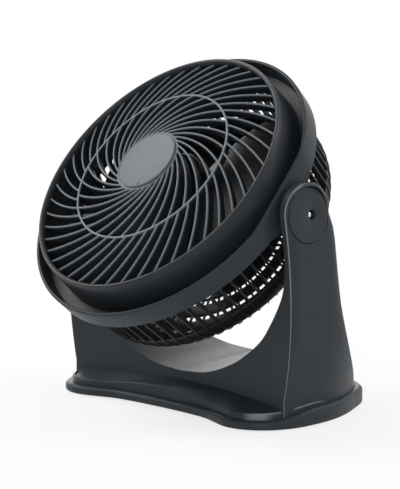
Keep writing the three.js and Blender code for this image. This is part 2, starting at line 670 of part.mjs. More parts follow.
// stations of the basket's outer skin from the front flange to the rear plate: [radius, along, hoop]
function basketStations() {
  const front = RING_REAR - SEAT_GAP;
  const sideAt = (a) => THREE.MathUtils.mapLinear(
    a, front, BASKET_SIDE_REAR, BASKET_FRONT_RADIUS, BASKET_SIDE_RADIUS);
  const side = [front, 4.5, BASKET_SIDE_REAR + 3, BASKET_SIDE_REAR].map((a) => [sideAt(a), a]);
  const across = BASKET_SIDE_RADIUS - BASKET_FACE_RADIUS;
  const down = BASKET_SIDE_REAR - BASKET_REAR;
  const round = [30, 60, 90].map((turn) => [
    BASKET_FACE_RADIUS + across * Math.cos(rad(turn)),
    BASKET_SIDE_REAR - down * Math.sin(rad(turn)),
  ]);
  const face = [[BASKET_FACE_RADIUS - 3, BASKET_REAR], [BASKET_PLATE_RADIUS, BASKET_REAR],
    [BASKET_PLATE_RADIUS - 3, BASKET_REAR]];
  return [...side, ...round, ...face];
}

// rows between two stations that run all the way round; the other rows hold ribs alone
const BASKET_HOOP_ROWS = [0, 2, 3, 6, 8];

function makeBasket() {
  const outer = basketStations();
  const inner = outer.map(([radius, a], i) => {
    const [beforeR, beforeA] = outer[Math.max(i - 1, 0)];
    const [afterR, afterA] = outer[Math.min(i + 1, outer.length - 1)];
    const length = Math.hypot(afterR - beforeR, afterA - beforeA);
    const depth = BASKET_WALL * (i < 2 ? 2.4 : 1);
    return [radius + (depth * (afterA - beforeA)) / length, a - (depth * (afterR - beforeR)) / length];
  });
  inner[0][1] = outer[0][1];
  const columns = 2 * BASKET_RIBS;
  const ribAngle = THREE.MathUtils.radToDeg(BASKET_RIB_WIDTH / BASKET_SIDE_RADIUS);
  const pitch = 360 / BASKET_RIBS;
  const angles = Array.from({ length: columns }, (_, i) =>
    rad(Math.floor(i / 2) * pitch + (i % 2 ? ribAngle / 2 : -ribAngle / 2)));
  const rows = outer.length - 1;
  const filled = (row, column) => row >= 0 && row < rows
    && (column % 2 === 0 || BASKET_HOOP_ROWS.includes(row));
  const positions = [];
  for (const skin of [outer, inner]) {
    for (const [radius, a] of skin) {
      angles.forEach((angle) => positions.push(radius * Math.cos(angle), radius * Math.sin(angle), a));
    }
  }
  const vertex = (skin, station, column) => (skin * outer.length + station) * columns + (column % columns);
  const index = [];
  const quad = (a, b, c, d) => index.push(a, b, c, a, c, d);
  for (let row = 0; row < rows; row += 1) {
    for (let column = 0; column < columns; column += 1) {
      if (!filled(row, column)) continue;
      const v = (skin, dRow, dColumn) => vertex(skin, row + dRow, column + dColumn);
      quad(v(0, 0, 0), v(0, 1, 0), v(0, 1, 1), v(0, 0, 1));
      quad(v(1, 0, 0), v(1, 0, 1), v(1, 1, 1), v(1, 1, 0));
      if (!filled(row - 1, column)) quad(v(0, 0, 0), v(0, 0, 1), v(1, 0, 1), v(1, 0, 0));
      if (!filled(row + 1, column)) quad(v(0, 1, 0), v(1, 1, 0), v(1, 1, 1), v(0, 1, 1));
      if (!filled(row, column + columns - 1)) quad(v(0, 0, 0), v(1, 0, 0), v(1, 1, 0), v(0, 1, 0));
      if (!filled(row, column + 1)) quad(v(0, 0, 1), v(0, 1, 1), v(1, 1, 1), v(1, 0, 1));
    }
  }
  const lattice = new THREE.BufferGeometry();
  lattice.setAttribute('position', new THREE.Float32BufferAttribute(positions, 3));
  lattice.setIndex(index);
  const plate = disc(BASKET_PLATE_RADIUS - 1, BASKET_REAR, BASKET_REAR + BASKET_WALL);
  let body = solid(lattice).add(solid(plate));
  for (const [x, y] of grilleScrewPlaces) {
    const top = RING_REAR - SEAT_GAP;
    const boss = disc(BOSS_RADIUS, top - GRILLE_BOSS_HEIGHT, top - 0.05, SCREW_SIDES).translate(x, y, 0);
    const hole = disc(SCREW_RADIUS + SEAT_GAP, -5, RING_REAR + 1, SCREW_SIDES).translate(x, y, 0);
    body = body.add(solid(boss).intersect(solid(disc(BASKET_FRONT_RADIUS - 0.4, -9, 12, LARGE_SIDES))));
    body = body.subtract(solid(hole));
  }
  for (const [x, y] of motorScrewPlaces) {
    const hole = disc(SCREW_RADIUS + SEAT_GAP, BASKET_REAR - 1, BASKET_REAR + BASKET_WALL + 1, SCREW_SIDES);
    body = body.subtract(solid(hole.translate(x, y, 0)));
  }
  return named('rear_basket', geometryOf(body), CHARCOAL);
}

const motorScrewPlaces = around(MOTOR_SCREW_COUNT, MOTOR_SCREW_CIRCLE, 30);

function makeGrilleScrew(number, [x, y]) {
  const piece = named(`grille_screw_${number}`, screw(9.2), STEEL);
  piece.position.set(x, y, RING_REAR - GRILLE_BOSS_HEIGHT - 2 * SEAT_GAP - SCREW_HEAD_HEIGHT);
  return piece;
}

const motorRear = BASKET_REAR + BASKET_WALL + SEAT_GAP;
const motorFront = motorRear + MOTOR_LENGTH;
const motorSplit = motorRear + MOTOR_LENGTH / 2;

// one half of the motor can: a cup about the axis with a seat for a bearing
function motorCup(end, split, direction) {
  const at = (distance) => end + direction * distance;
  const seat = BEARING_RADIUS + SEAT_GAP;
  const bore = SHAFT_RADIUS + RUN_GAP;
  const profile = [
    [bore, at(0)], [MOTOR_RADIUS - 2, at(0)], [MOTOR_RADIUS, at(2)], [MOTOR_RADIUS, split],
    [MOTOR_RADIUS - MOTOR_WALL, split], [MOTOR_RADIUS - MOTOR_WALL, at(2)],
    [MOTOR_RADIUS - 2.4, at(MOTOR_WALL)], [seat + MOTOR_WALL, at(MOTOR_WALL)],
    [seat + MOTOR_WALL, at(MOTOR_WALL + BEARING_WIDTH)], [seat, at(MOTOR_WALL + BEARING_WIDTH)],
    [seat, at(MOTOR_WALL)], [bore, at(MOTOR_WALL)], [bore, at(0)],
  ];
  return turned(direction > 0 ? profile : profile.reverse(), SMALL_SIDES);
}

function makeMotor() {
  const half = SEAT_GAP / 2;
  const rearCup = motorCup(motorRear, motorSplit - half, 1);
  const screwHoles = motorScrewPlaces.map(([x, y]) => {
    const hole = disc(SCREW_RADIUS + SEAT_GAP, motorRear - 1, motorRear + MOTOR_WALL + 1, SCREW_SIDES);
    return hole.translate(x, y, 0);
  });
  const bearing = (from) => tube(
    SHAFT_RADIUS + SEAT_GAP, BEARING_RADIUS, from, from + BEARING_WIDTH, SMALL_SIDES);
  const rearBearing = motorRear + MOTOR_WALL + SEAT_GAP;
  const frontBearing = motorFront - MOTOR_WALL - SEAT_GAP - BEARING_WIDTH;
  const stator = tube(
    STATOR_BORE_RADIUS, MOTOR_RADIUS - MOTOR_WALL - SEAT_GAP,
    motorSplit - STATOR_LENGTH / 2, motorSplit + STATOR_LENGTH / 2, SMALL_SIDES);
  const pieces = [
    named('motor_rear_shell', cut(rearCup, ...screwHoles), STEEL),
    named('motor_front_shell', motorCup(motorFront, motorSplit + half, -1), STEEL),
    named('motor_stator', stator, COPPER_COILS),
    named('bearing_rear', bearing(rearBearing), STEEL),
    named('bearing_front', bearing(frontBearing), STEEL),
  ];
  motorScrewPlaces.forEach(([x, y], i) => {
    const piece = named(`motor_screw_${i + 1}`, screw(8.5), STEEL);
    piece.position.set(x, y, BASKET_REAR - SEAT_GAP - SCREW_HEAD_HEIGHT);
    pieces.push(piece);
  });
  return pieces;
}

const coverFront = BASKET_REAR - SEAT_GAP;
const coverRear = coverFront - COVER_DEPTH;
const glandAlong = coverFront - GLAND_RADIUS - 2;

function makeRearCover() {
  const shell = turned([
    [KNOB_STEM_RADIUS + RUN_GAP, coverRear], [COVER_RADIUS - 7, coverRear],
    [COVER_RADIUS - 2, coverRear + 2.4],
    [COVER_RADIUS, coverRear + 5], [COVER_RADIUS, coverFront], [COVER_RADIUS - COVER_WALL, coverFront],
    [COVER_RADIUS - COVER_WALL, coverRear + 5], [COVER_RADIUS - 4, coverRear + 3.4],
    [COVER_RADIUS - 7, coverRear + COVER_WALL], [KNOB_STEM_RADIUS + RUN_GAP, coverRear + COVER_WALL],
    [KNOB_STEM_RADIUS + RUN_GAP, coverRear],
  ]);
  const hole = disc(GLAND_RADIUS + SEAT_GAP, COVER_RADIUS - 6, COVER_RADIUS + 6, SCREW_SIDES);
  hole.rotateX(Math.PI / 2).translate(0, 0, glandAlong);
  return named('rear_cover', cut(shell, hole), CHARCOAL);
}

function makeGland() {
  const start = COVER_RADIUS - COVER_WALL - 2.6;
  const bore = 2.2;
  const flange = GLAND_RADIUS + 0.8;
  const shape = turned([
    [bore, start], [flange, start], [flange, start + 1.2],
    [GLAND_RADIUS, start + 1.2], [GLAND_RADIUS - 0.8, start + GLAND_LENGTH], [bore, start + GLAND_LENGTH],
    [bore, start],
  ], SCREW_SIDES);
  const piece = named('cord_gland', shape.rotateX(Math.PI / 2), RUBBER);
  piece.position.z = glandAlong;
  return piece;
}

function makeSwitch() {
  const rear = coverRear + COVER_WALL + SEAT_GAP;
  const body = box(SWITCH_SIZE, SWITCH_SIZE, SWITCH_DEPTH, 0, 0, rear + SWITCH_DEPTH / 2);
  const socket = disc(KNOB_STEM_RADIUS + RUN_GAP, rear - 1, rear + SWITCH_DEPTH - 2, SCREW_SIDES);
  return named('speed_switch', cut(body, socket), DARK_PLASTIC);
}

function makeKnob() {
  const face = coverRear - RUN_GAP;
  const stemEnd = coverRear + COVER_WALL + SWITCH_DEPTH - 3;
  const body = turned([
    [0, face - KNOB_LENGTH], [KNOB_RADIUS - 3, face - KNOB_LENGTH],
    [KNOB_RADIUS - 1.5, face - KNOB_LENGTH + 1.5],
    [KNOB_RADIUS, face], [KNOB_STEM_RADIUS, face], [KNOB_STEM_RADIUS, stemEnd], [0, stemEnd],
  ], SMALL_SIDES);
  const grip = box(3, 2 * KNOB_RADIUS - 8, 3, 0, 0, face - KNOB_LENGTH - 1);
  return named('speed_knob', joined(body, grip), DARK_PLASTIC);
}

// ---------------------------------------------------------------- rotor
const shaftFront = IMPELLER_HUB_FRONT + 4;

function makeShaft() {
  const rear = motorRear + MOTOR_WALL + SEAT_GAP;
  return named('motor_shaft', disc(SHAFT_RADIUS, rear, shaftFront, SMALL_SIDES), STEEL);
}

function makeRotorCore() {
  const half = STATOR_LENGTH / 2;
  const core = tube(
    SHAFT_RADIUS + SEAT_GAP, STATOR_BORE_RADIUS - 0.8, motorSplit - half, motorSplit + half, SMALL_SIDES);
  return named('rotor_core', core, STEEL);
}

// one thin twisted blade from inside the hub wall to the tip
function blade(turn) {
  const radial = 5;
  const chord = 7;
  const rootRadius = IMPELLER_HUB_RADIUS - 1.2;
  const point = (s, t, lift) => {
    const rounding = s > 0.99 ? BLADE_TIP_ROUNDING * (2 * t - 1) ** 4 : 0;
    const radius = THREE.MathUtils.lerp(rootRadius, BLADE_RADIUS, s) - rounding;
    const span = THREE.MathUtils.lerp(BLADE_ROOT_SPAN, BLADE_TIP_SPAN, s);
    const angle = rad(turn - BLADE_SWEEP * s + span * (t - 0.5));
    const slope = THREE.MathUtils.lerp(BLADE_ROOT_HEIGHT, BLADE_TIP_HEIGHT, s) * (0.5 - t);
    const height = BLADE_MIDDLE + slope + BLADE_CAMBER * Math.sin(Math.PI * t) + lift;
    return [radius * Math.cos(angle), radius * Math.sin(angle), height];
  };
  const positions = [];
  for (const lift of [-BLADE_THICKNESS / 2, BLADE_THICKNESS / 2]) {
    for (let i = 0; i <= radial; i += 1) {
      for (let j = 0; j <= chord; j += 1) {
        positions.push(...point(i / radial, j / chord, lift));
      }
    }
  }
  const layer = (radial + 1) * (chord + 1);
  const v = (skin, i, j) => skin * layer + i * (chord + 1) + j;
  const index = [];
  const quad = (a, b, c, d) => index.push(a, b, c, a, c, d);
  for (let i = 0; i < radial; i += 1) {
    for (let j = 0; j < chord; j += 1) {
      quad(v(0, i, j), v(0, i, j + 1), v(0, i + 1, j + 1), v(0, i + 1, j));
      quad(v(1, i, j), v(1, i + 1, j), v(1, i + 1, j + 1), v(1, i, j + 1));
    }
    quad(v(0, i, 0), v(0, i + 1, 0), v(1, i + 1, 0), v(1, i, 0));
    quad(v(0, i, chord), v(1, i, chord), v(1, i + 1, chord), v(0, i + 1, chord));
  }
  for (let j = 0; j < chord; j += 1) {
    quad(v(0, 0, j), v(1, 0, j), v(1, 0, j + 1), v(0, 0, j + 1));
    quad(v(0, radial, j), v(0, radial, j + 1), v(1, radial, j + 1), v(1, radial, j));
  }
  const geometry = new THREE.BufferGeometry();
  geometry.setAttribute('position', new THREE.Float32BufferAttribute(positions, 3));
  geometry.setIndex(index);
  return geometry;
}

function makeImpeller() {
  const bore = SHAFT_RADIUS + SEAT_GAP;
  const wall = 2.4;
  const boss = 9;
  const hub = turned([
    [bore, IMPELLER_HUB_REAR + 3], [boss, IMPELLER_HUB_REAR + 3], [boss, IMPELLER_HUB_FRONT - wall],
    [IMPELLER_HUB_RADIUS - wall - 4, IMPELLER_HUB_FRONT - wall],
    [IMPELLER_HUB_RADIUS - wall, IMPELLER_HUB_FRONT - wall - 4],
    [IMPELLER_HUB_RADIUS - wall, IMPELLER_HUB_REAR], [IMPELLER_HUB_RADIUS, IMPELLER_HUB_REAR],
    [IMPELLER_HUB_RADIUS, IMPELLER_HUB_FRONT - 4], [IMPELLER_HUB_RADIUS - 4, IMPELLER_HUB_FRONT],
    [bore, IMPELLER_HUB_FRONT], [bore, IMPELLER_HUB_REAR + 3],
  ]);
  const blades = Array.from({ length: BLADE_COUNT }, (_, i) =>
    blade(IMPELLER_ANGLE + (360 * i) / BLADE_COUNT));
  return named('impeller', joined(hub, ...blades), DARK_PLASTIC);
}

function makeSpinner() {
  const rear = IMPELLER_HUB_FRONT + SEAT_GAP;
  const bore = SHAFT_RADIUS + SEAT_GAP;
  const shape = turned([
    [bore, rear], [SPINNER_RADIUS, rear], [SPINNER_RADIUS - 1, rear + 6],
    [SPINNER_RADIUS - 4, rear + SPINNER_LENGTH],
    [0, rear + SPINNER_LENGTH], [0, shaftFront + SEAT_GAP], [bore, shaftFront + SEAT_GAP], [bore, rear],
  ], SMALL_SIDES);
  return named('spinner_nut', shape, DARK_PLASTIC);
}

function makeHead() {
  const head = new THREE.Group();
  head.add(makeOuterRing(), makeFrontGrille(), makeBadge(), makeBasket(), ...makeMotor());
  grilleScrewPlaces.forEach((place, i) => head.add(makeGrilleScrew(i + 1, place)));
  head.add(makeRearCover(), makeGland(), makeSwitch(), makeKnob());
  head.add(makeShaft(), makeRotorCore(), makeImpeller(), makeSpinner());
  head.position.set(0, pivotY, PIVOT_HEIGHT);
  head.rotation.x = rad(90 - REST_TILT);
  return head;
}

const fan = new THREE.Group();
fan.add(makeBase(), makeHead());
export default fan;
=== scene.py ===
"""Tilting air circulator fan, dressed around its solids. Lengths below are millimetres unless said."""
import json
from math import cos, degrees, exp, hypot, log, pi, radians, sin, sqrt

import bpy
from mathutils import Matrix, Vector


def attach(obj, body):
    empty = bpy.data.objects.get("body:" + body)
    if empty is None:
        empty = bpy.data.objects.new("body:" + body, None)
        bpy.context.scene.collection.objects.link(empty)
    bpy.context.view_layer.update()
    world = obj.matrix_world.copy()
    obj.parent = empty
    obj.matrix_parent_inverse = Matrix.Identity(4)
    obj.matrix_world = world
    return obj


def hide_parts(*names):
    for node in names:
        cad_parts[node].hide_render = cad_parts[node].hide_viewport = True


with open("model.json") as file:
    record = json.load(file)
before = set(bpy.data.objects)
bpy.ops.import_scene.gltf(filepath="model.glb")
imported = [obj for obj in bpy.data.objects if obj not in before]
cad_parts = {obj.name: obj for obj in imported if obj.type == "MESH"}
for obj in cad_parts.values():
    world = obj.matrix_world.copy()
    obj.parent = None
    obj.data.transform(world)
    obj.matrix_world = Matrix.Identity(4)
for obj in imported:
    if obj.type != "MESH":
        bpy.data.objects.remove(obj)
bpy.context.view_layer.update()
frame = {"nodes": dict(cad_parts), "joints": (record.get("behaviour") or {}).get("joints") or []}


MM = 0.001
PIVOT = Vector(frame["joints"][0]["pos_m"])
REST_TILT = 41.0  # fan axis above the horizontal, degrees
PIVOT_HEIGHT = PIVOT.z / MM
DOME_HEIGHT = 54.8  # front of the grille dome on the fan axis
DOME_CURVE = 0.00128
HEAD = Matrix.Translation(PIVOT) @ Matrix.Rotation(radians(90 - REST_TILT), 4, "X")
BASE = Matrix.Translation(Vector((0, PIVOT.y, 0)))

# ------------------------------------------------------------------ camera
VIEW_TURN = 45.76  # degrees round from the front
VIEW_RISE = 7.03
VIEW_DISTANCE = 1448.3
VIEW_LENS = 134.25
VIEW_SIDE = 9.32
VIEW_HEIGHT = 128.58
VIEW_DEPTH = PIVOT.y / MM + 3.52


def make_camera():
    turn, rise = radians(VIEW_TURN), radians(VIEW_RISE)
    back = Vector((sin(turn) * cos(rise), -cos(turn) * cos(rise), sin(rise)))
    across = Vector((cos(turn), sin(turn), 0))
    target = (Vector((0, VIEW_DEPTH, VIEW_HEIGHT)) + across * VIEW_SIDE) * MM
    data = bpy.data.cameras.new("view")
    data.lens = VIEW_LENS
    data.sensor_width = 36
    data.clip_start = 0.05
    camera = bpy.data.objects.new("view", data)
    camera.location = target + back * VIEW_DISTANCE * MM
    camera.rotation_euler = back.to_track_quat("Z", "Y").to_euler()
    bpy.context.scene.collection.objects.link(camera)
    bpy.context.scene.camera = camera


# ------------------------------------------------------------------ materials
COLOUR, NUMBER, VECTOR = "NodeSocketColor", "NodeSocketFloat", "NodeSocketVector"
FRONT_HIGHLIGHT_DEPTHS = (1.5, 0.5)  # below the dome's front, where the painted highlight on the rib fronts starts and is full
FRONT_HIGHLIGHT_RADII = (107.6, 108.4)  # where the painted highlight fades out towards the bezel
PLASTIC_RELIEF = 0.0002  # metres
METAL_RELIEF = 0.0001


def new_group(name, inputs, outputs):
    group = bpy.data.node_groups.new(name, "ShaderNodeTree")
    for label, kind, value in inputs:
        socket = group.interface.new_socket(label, in_out="INPUT", socket_type=kind)
        socket.default_value = value
    for label, kind in outputs:
        group.interface.new_socket(label, in_out="OUTPUT", socket_type=kind)
    return group, group.nodes.new("NodeGroupInput"), group.nodes.new("NodeGroupOutput")


def add_noise(group, coords, scale, detail):
    noise = group.nodes.new("ShaderNodeTexNoise")
    noise.inputs["Detail"].default_value = detail
    if isinstance(scale, (int, float)):
        noise.inputs["Scale"].default_value = scale
    else:
        group.links.new(scale, noise.inputs["Scale"])
    group.links.new(coords, noise.inputs["Vector"])
    return noise.outputs["Fac"]


def add_range(group, value, low, high, to_low, to_high):
    node = group.nodes.new("ShaderNodeMapRange")
    group.links.new(value, node.inputs["Value"])
    for label, number in (("From Min", low), ("From Max", high), ("To Min", to_low), ("To Max", to_high)):
        if isinstance(number, (int, float)):
            node.inputs[label].default_value = number
        else:
            group.links.new(number, node.inputs[label])
    return node.outputs["Result"]


def add_mix(group, share, first, second):
    node = group.nodes.new("ShaderNodeMix")
    node.data_type = "RGBA"
    group.links.new(share, node.inputs["Factor"])
    group.links.new(first, node.inputs["A"])
    group.links.new(second, node.inputs["B"])
    return node.outputs["Result"]


def add_math(group, operation, *values):
    node = group.nodes.new("ShaderNodeMath")
    node.operation = operation
    for socket, value in zip(node.inputs, values):
        if isinstance(value, (int, float)):
            socket.default_value = value
        else:
            group.links.new(value, socket)
    return node.outputs[0]


def make_moulded_group():
    """Fine spark-eroded grain, slow colour drift and faint flow marks of moulded plastic."""
    group, given, made = new_group("moulded_finish", [
        ("Colour", COLOUR, (0.05, 0.05, 0.05, 1)), ("Drift Colour", COLOUR, (0.07, 0.07, 0.07, 1)),
        ("Roughness", NUMBER, 0.45), ("Grain Size", NUMBER, 1400.0), ("Vector", VECTOR, (0, 0, 0)),
    ], [("Colour", COLOUR), ("Roughness", NUMBER), ("Height", NUMBER)])
    coords = given.outputs["Vector"]
    grain = add_noise(group, coords, given.outputs["Grain Size"], 2.0)
    drift = add_noise(group, coords, 26.0, 3.0)
    handling = add_noise(group, coords, 120.0, 4.0)
    share = add_range(group, drift, 0.3, 0.75, 0.0, 1.0)
    mixed = add_mix(group, share, given.outputs["Colour"], given.outputs["Drift Colour"])
    group.links.new(mixed, made.inputs["Colour"])
    spread = add_range(group, handling, 0.25, 0.8, -0.02, 0.025)
    group.links.new(add_math(group, "ADD", given.outputs["Roughness"], spread), made.inputs["Roughness"])
    group.links.new(grain, made.inputs["Height"])
    return group


def make_worked_group():
    """Small marks and patches of tarnish on pressed, ground or plated metal."""
    group, given, made = new_group("worked_metal", [
        ("Colour", COLOUR, (0.6, 0.6, 0.6, 1)), ("Dull Colour", COLOUR, (0.4, 0.4, 0.4, 1)),
        ("Roughness", NUMBER, 0.3), ("Mark Size", NUMBER, 600.0), ("Vector", VECTOR, (0, 0, 0)),
    ], [("Colour", COLOUR), ("Roughness", NUMBER), ("Height", NUMBER)])
    coords = given.outputs["Vector"]
    marks = add_noise(group, coords, given.outputs["Mark Size"], 6.0)
    tarnish = add_noise(group, coords, 90.0, 3.0)
    share = add_range(group, tarnish, 0.35, 0.8, 0.0, 1.0)
    mixed = add_mix(group, share, given.outputs["Colour"], given.outputs["Dull Colour"])
    group.links.new(mixed, made.inputs["Colour"])
    spread = add_range(group, marks, 0.2, 0.8, -0.08, 0.1)
    group.links.new(add_math(group, "ADD", given.outputs["Roughness"], spread), made.inputs["Roughness"])
    group.links.new(marks, made.inputs["Height"])
    return group


def new_highlight_group(name):
    """A group that is to mix a painted highlight colour into a finish, with its input and output nodes."""
    return new_group(name, [
        ("Colour", COLOUR, (0.02, 0.02, 0.02, 1)), ("Highlight Colour", COLOUR, (0.1, 0.1, 0.1, 1)),
        ("Vector", VECTOR, (0, 0, 0)),
    ], [("Colour", COLOUR), ("Mask", NUMBER)])


def finish_highlight_group(group, given, made, mask):
    mixed = add_mix(group, mask, given.outputs["Colour"], given.outputs["Highlight Colour"])
    group.links.new(mixed, made.inputs["Colour"])
    group.links.new(mask, made.inputs["Mask"])
    return group


def make_front_highlight_group():
    """Paints a highlight on the front edges of the grille's ribs, paler than their sides."""
    group, given, made = new_highlight_group("painted_front_highlight")
    inwards = HEAD.inverted()
    turned_in = group.nodes.new("ShaderNodeMapping")
    turned_in.inputs["Location"].default_value = inwards.translation
    turned_in.inputs["Rotation"].default_value = inwards.to_euler()
    group.links.new(given.outputs["Vector"], turned_in.inputs["Vector"])
    parts = group.nodes.new("ShaderNodeSeparateXYZ")
    group.links.new(turned_in.outputs["Vector"], parts.inputs[0])
    across = add_math(group, "MULTIPLY", parts.outputs["X"], parts.outputs["X"])
    square = add_math(group, "MULTIPLY_ADD", parts.outputs["Y"], parts.outputs["Y"], across)
    height = add_math(group, "MULTIPLY_ADD", square, DOME_CURVE / MM, parts.outputs["Z"])
    # painted highlight: full at the dome's front, gone a little below it
    plain_below, highlight_above = ((DOME_HEIGHT - depth) * MM for depth in FRONT_HIGHLIGHT_DEPTHS)
    front = add_range(group, height, plain_below, highlight_above, 0.0, 1.0)
    fade_start, fade_end = ((radius * MM) ** 2 for radius in FRONT_HIGHLIGHT_RADII)
    inside = add_range(group, square, fade_start, fade_end, 1.0, 0.0)
    return finish_highlight_group(group, given, made, add_math(group, "MULTIPLY", front, inside))


def make_corner_highlight_group():
    """Paints a highlight on the rounded outer corners of the arms, found from the way they face."""
    group, given, made = new_highlight_group("painted_corner_highlight")
    facing = group.nodes.new("ShaderNodeSeparateXYZ")
    shape = group.nodes.new("ShaderNodeNewGeometry")
    group.links.new(shape.outputs["Normal"], facing.inputs[0])
    parts = group.nodes.new("ShaderNodeSeparateXYZ")
    group.links.new(given.outputs["Vector"], parts.inputs[0])
    outward = add_math(group, "MULTIPLY", facing.outputs["X"], add_math(group, "SIGN", parts.outputs["X"]))
    # painted highlight where the surface turns from the front towards the side
    turned = add_range(group, outward, 0.28, 0.5, 0.0, 1.0)
    not_side = add_range(group, outward, 0.72, 0.86, 1.0, 0.0)
    return finish_highlight_group(group, given, made, add_math(group, "MULTIPLY", turned, not_side))


def add_painted_highlight(material, group, shade):
    """Sends a finish's colour through a painted highlight group before it reaches the shader."""
    tree = material.node_tree
    shader = tree.nodes["Principled BSDF"]
    plain = shader.inputs["Base Color"].links[0].from_socket
    coords = next(node for node in tree.nodes if node.bl_idname == "ShaderNodeTexCoord")
    edges = tree.nodes.new("ShaderNodeGroup")
    edges.node_tree = group
    # shade here is the colour of the painted highlight
    edges.inputs["Highlight Colour"].default_value = (*shade, 1)
    tree.links.new(coords.outputs["Object"], edges.inputs["Vector"])
    tree.links.new(plain, edges.inputs["Colour"])
    tree.links.new(edges.outputs["Colour"], shader.inputs["Base Color"])


def make_material(name, group, values, bump, distance, **shader_values):
    material = bpy.data.materials.new(name)
    material.use_nodes = True
    tree = material.node_tree
    shader = tree.nodes["Principled BSDF"]
    for label, value in shader_values.items():
        shader.inputs[label.replace("_", " ")].default_value = value
    coords = tree.nodes.new("ShaderNodeTexCoord")
    effect = tree.nodes.new("ShaderNodeGroup")
    effect.node_tree = group
    tree.links.new(coords.outputs["Object"], effect.inputs["Vector"])
    for label, value in values.items():
        effect.inputs[label].default_value = value
    tree.links.new(effect.outputs["Colour"], shader.inputs["Base Color"])
    tree.links.new(effect.outputs["Roughness"], shader.inputs["Roughness"])
    relief = tree.nodes.new("ShaderNodeBump")
    relief.inputs["Strength"].default_value = bump
    relief.inputs["Distance"].default_value = distance
    tree.links.new(effect.outputs["Height"], relief.inputs["Height"])
    tree.links.new(relief.outputs["Normal"], shader.inputs["Normal"])
    return material


def plastic(name, shade, roughness, lift=1.12, grain=1400.0, bump=0.12, gloss=0.22):
    values = {
        "Colour": (*shade, 1), "Drift Colour": (*(min(1, part * lift) for part in shade), 1),
        "Roughness": roughness, "Grain Size": grain,
    }
    return make_material(name, moulded, values, bump, PLASTIC_RELIEF, Specular_IOR_Level=gloss)


def metal(name, shade, dull, roughness, marks=600.0):
    values = {
        "Colour": (*shade, 1), "Dull Colour": (*dull, 1), "Roughness": roughness, "Mark Size": marks,
    }
    return make_material(name, worked, values, 0.08, METAL_RELIEF, Metallic=1.0)


moulded = make_moulded_group()
worked = make_worked_group()
HOUSING_SHADE = (0.024, 0.029, 0.034)
CHARCOAL = plastic("charcoal_satin", HOUSING_SHADE, 0.44, gloss=0.16)
# the charcoal finish again, with a painted highlight on the arms' front corners
HOUSING = plastic("housing_satin_painted_highlight", HOUSING_SHADE, 0.44, gloss=0.16)
add_painted_highlight(HOUSING, make_corner_highlight_group(), (0.17, 0.19, 0.21))
GRILLE = plastic("grille_satin_painted_highlight", (0.016, 0.019, 0.022), 0.36)
# painted highlight on the front edges of the grille's ribs
add_painted_highlight(GRILLE, make_front_highlight_group(), (0.13, 0.145, 0.16))
BASKET = plastic("basket_satin", (0.010, 0.012, 0.0135), 0.36)
# painted shade: the liner is recessed behind the basket's ribs and coloured darker than them
SHADED_LINER = plastic("liner_painted_shade", (0.003, 0.0035, 0.004), 0.6)
BADGE = plastic("badge_satin", (0.115, 0.127, 0.143), 0.42, lift=1.1, grain=2200.0, bump=0.05)
BLADES = plastic("blade_satin", (0.006, 0.007, 0.008), 0.45)
BLACK = plastic("black_matte", (0.008, 0.008, 0.009), 0.55)
RUBBER = plastic("foot_rubber", (0.009, 0.009, 0.009), 0.85, grain=900.0, bump=0.3)
ZINC = metal("bright_zinc", (0.75, 0.76, 0.78), (0.55, 0.56, 0.58), 0.22)
PRESSED = metal("pressed_steel", (0.42, 0.43, 0.44), (0.28, 0.28, 0.29), 0.36, marks=220.0)
GROUND = metal("ground_steel", (0.6, 0.6, 0.61), (0.5, 0.5, 0.5), 0.2, marks=1500.0)
COPPER = metal("lacquered_coils", (0.42, 0.19, 0.09), (0.2, 0.09, 0.05), 0.45, marks=900.0)


# ------------------------------------------------------------------ modelling
def ease(share):
    """A smooth step from nought to one."""
    share = min(max(share, 0), 1)
    return share * share * (3 - 2 * share)


def select_only(*pieces):
    bpy.ops.object.select_all(action="DESELECT")
    for piece in pieces:
        piece.select_set(True)
    bpy.context.view_layer.objects.active = pieces[0]


MERGE_DISTANCE = 0.00002  # metres
LEAST_EDGE = 0.000002


def mend(piece):
    """Joins doubled points, drops what has no area and turns the faces outwards."""
    select_only(piece)
    bpy.ops.object.mode_set(mode="EDIT")
    bpy.ops.mesh.select_all(action="SELECT")
    bpy.ops.mesh.remove_doubles(threshold=MERGE_DISTANCE)
    bpy.ops.mesh.dissolve_degenerate(threshold=LEAST_EDGE)
    bpy.ops.mesh.select_all(action="SELECT")
    bpy.ops.mesh.normals_make_consistent(inside=False)
    bpy.ops.object.mode_set(mode="OBJECT")


def close_ends(piece):
    bpy.ops.object.mode_set(mode="EDIT")
    bpy.ops.mesh.select_mode(type="EDGE")
    bpy.ops.mesh.select_all(action="DESELECT")
    bpy.ops.mesh.select_non_manifold(
        extend=False, use_wire=False, use_boundary=True, use_multi_face=False,
        use_non_contiguous=False, use_verts=False)
    bpy.ops.mesh.edge_face_add()
    bpy.ops.mesh.select_mode(type="VERT")
    bpy.ops.object.mode_set(mode="OBJECT")


def skin(name, columns, rows, place, ends=False):
    """A grid wrapped into shape: place(u, w) gives the point, u and w running from 0 to 1."""
    bpy.ops.object.select_all(action="DESELECT")
    bpy.ops.mesh.primitive_grid_add(x_subdivisions=columns, y_subdivisions=rows, size=1)
    piece = bpy.context.object
    piece.name = piece.data.name = name
    for vertex in piece.data.vertices:
        point = place(vertex.co.x + 0.5, vertex.co.y + 0.5)
        vertex.co = Vector(point) * MM
    mend(piece)
    if ends:
        close_ends(piece)
        mend(piece)
    return piece


ROUND_STEPS = 96
SMALL_STEPS = 40


def spun(name, profile, steps=ROUND_STEPS):
    """A piece turned about Z from [radius, height] points."""
    rows = len(profile) - 1

    def place(u, w):
        radius, height = profile[round(w * rows)]
        return radius * cos(2 * pi * u), radius * sin(2 * pi * u), height

    return skin(name, steps, rows, place)


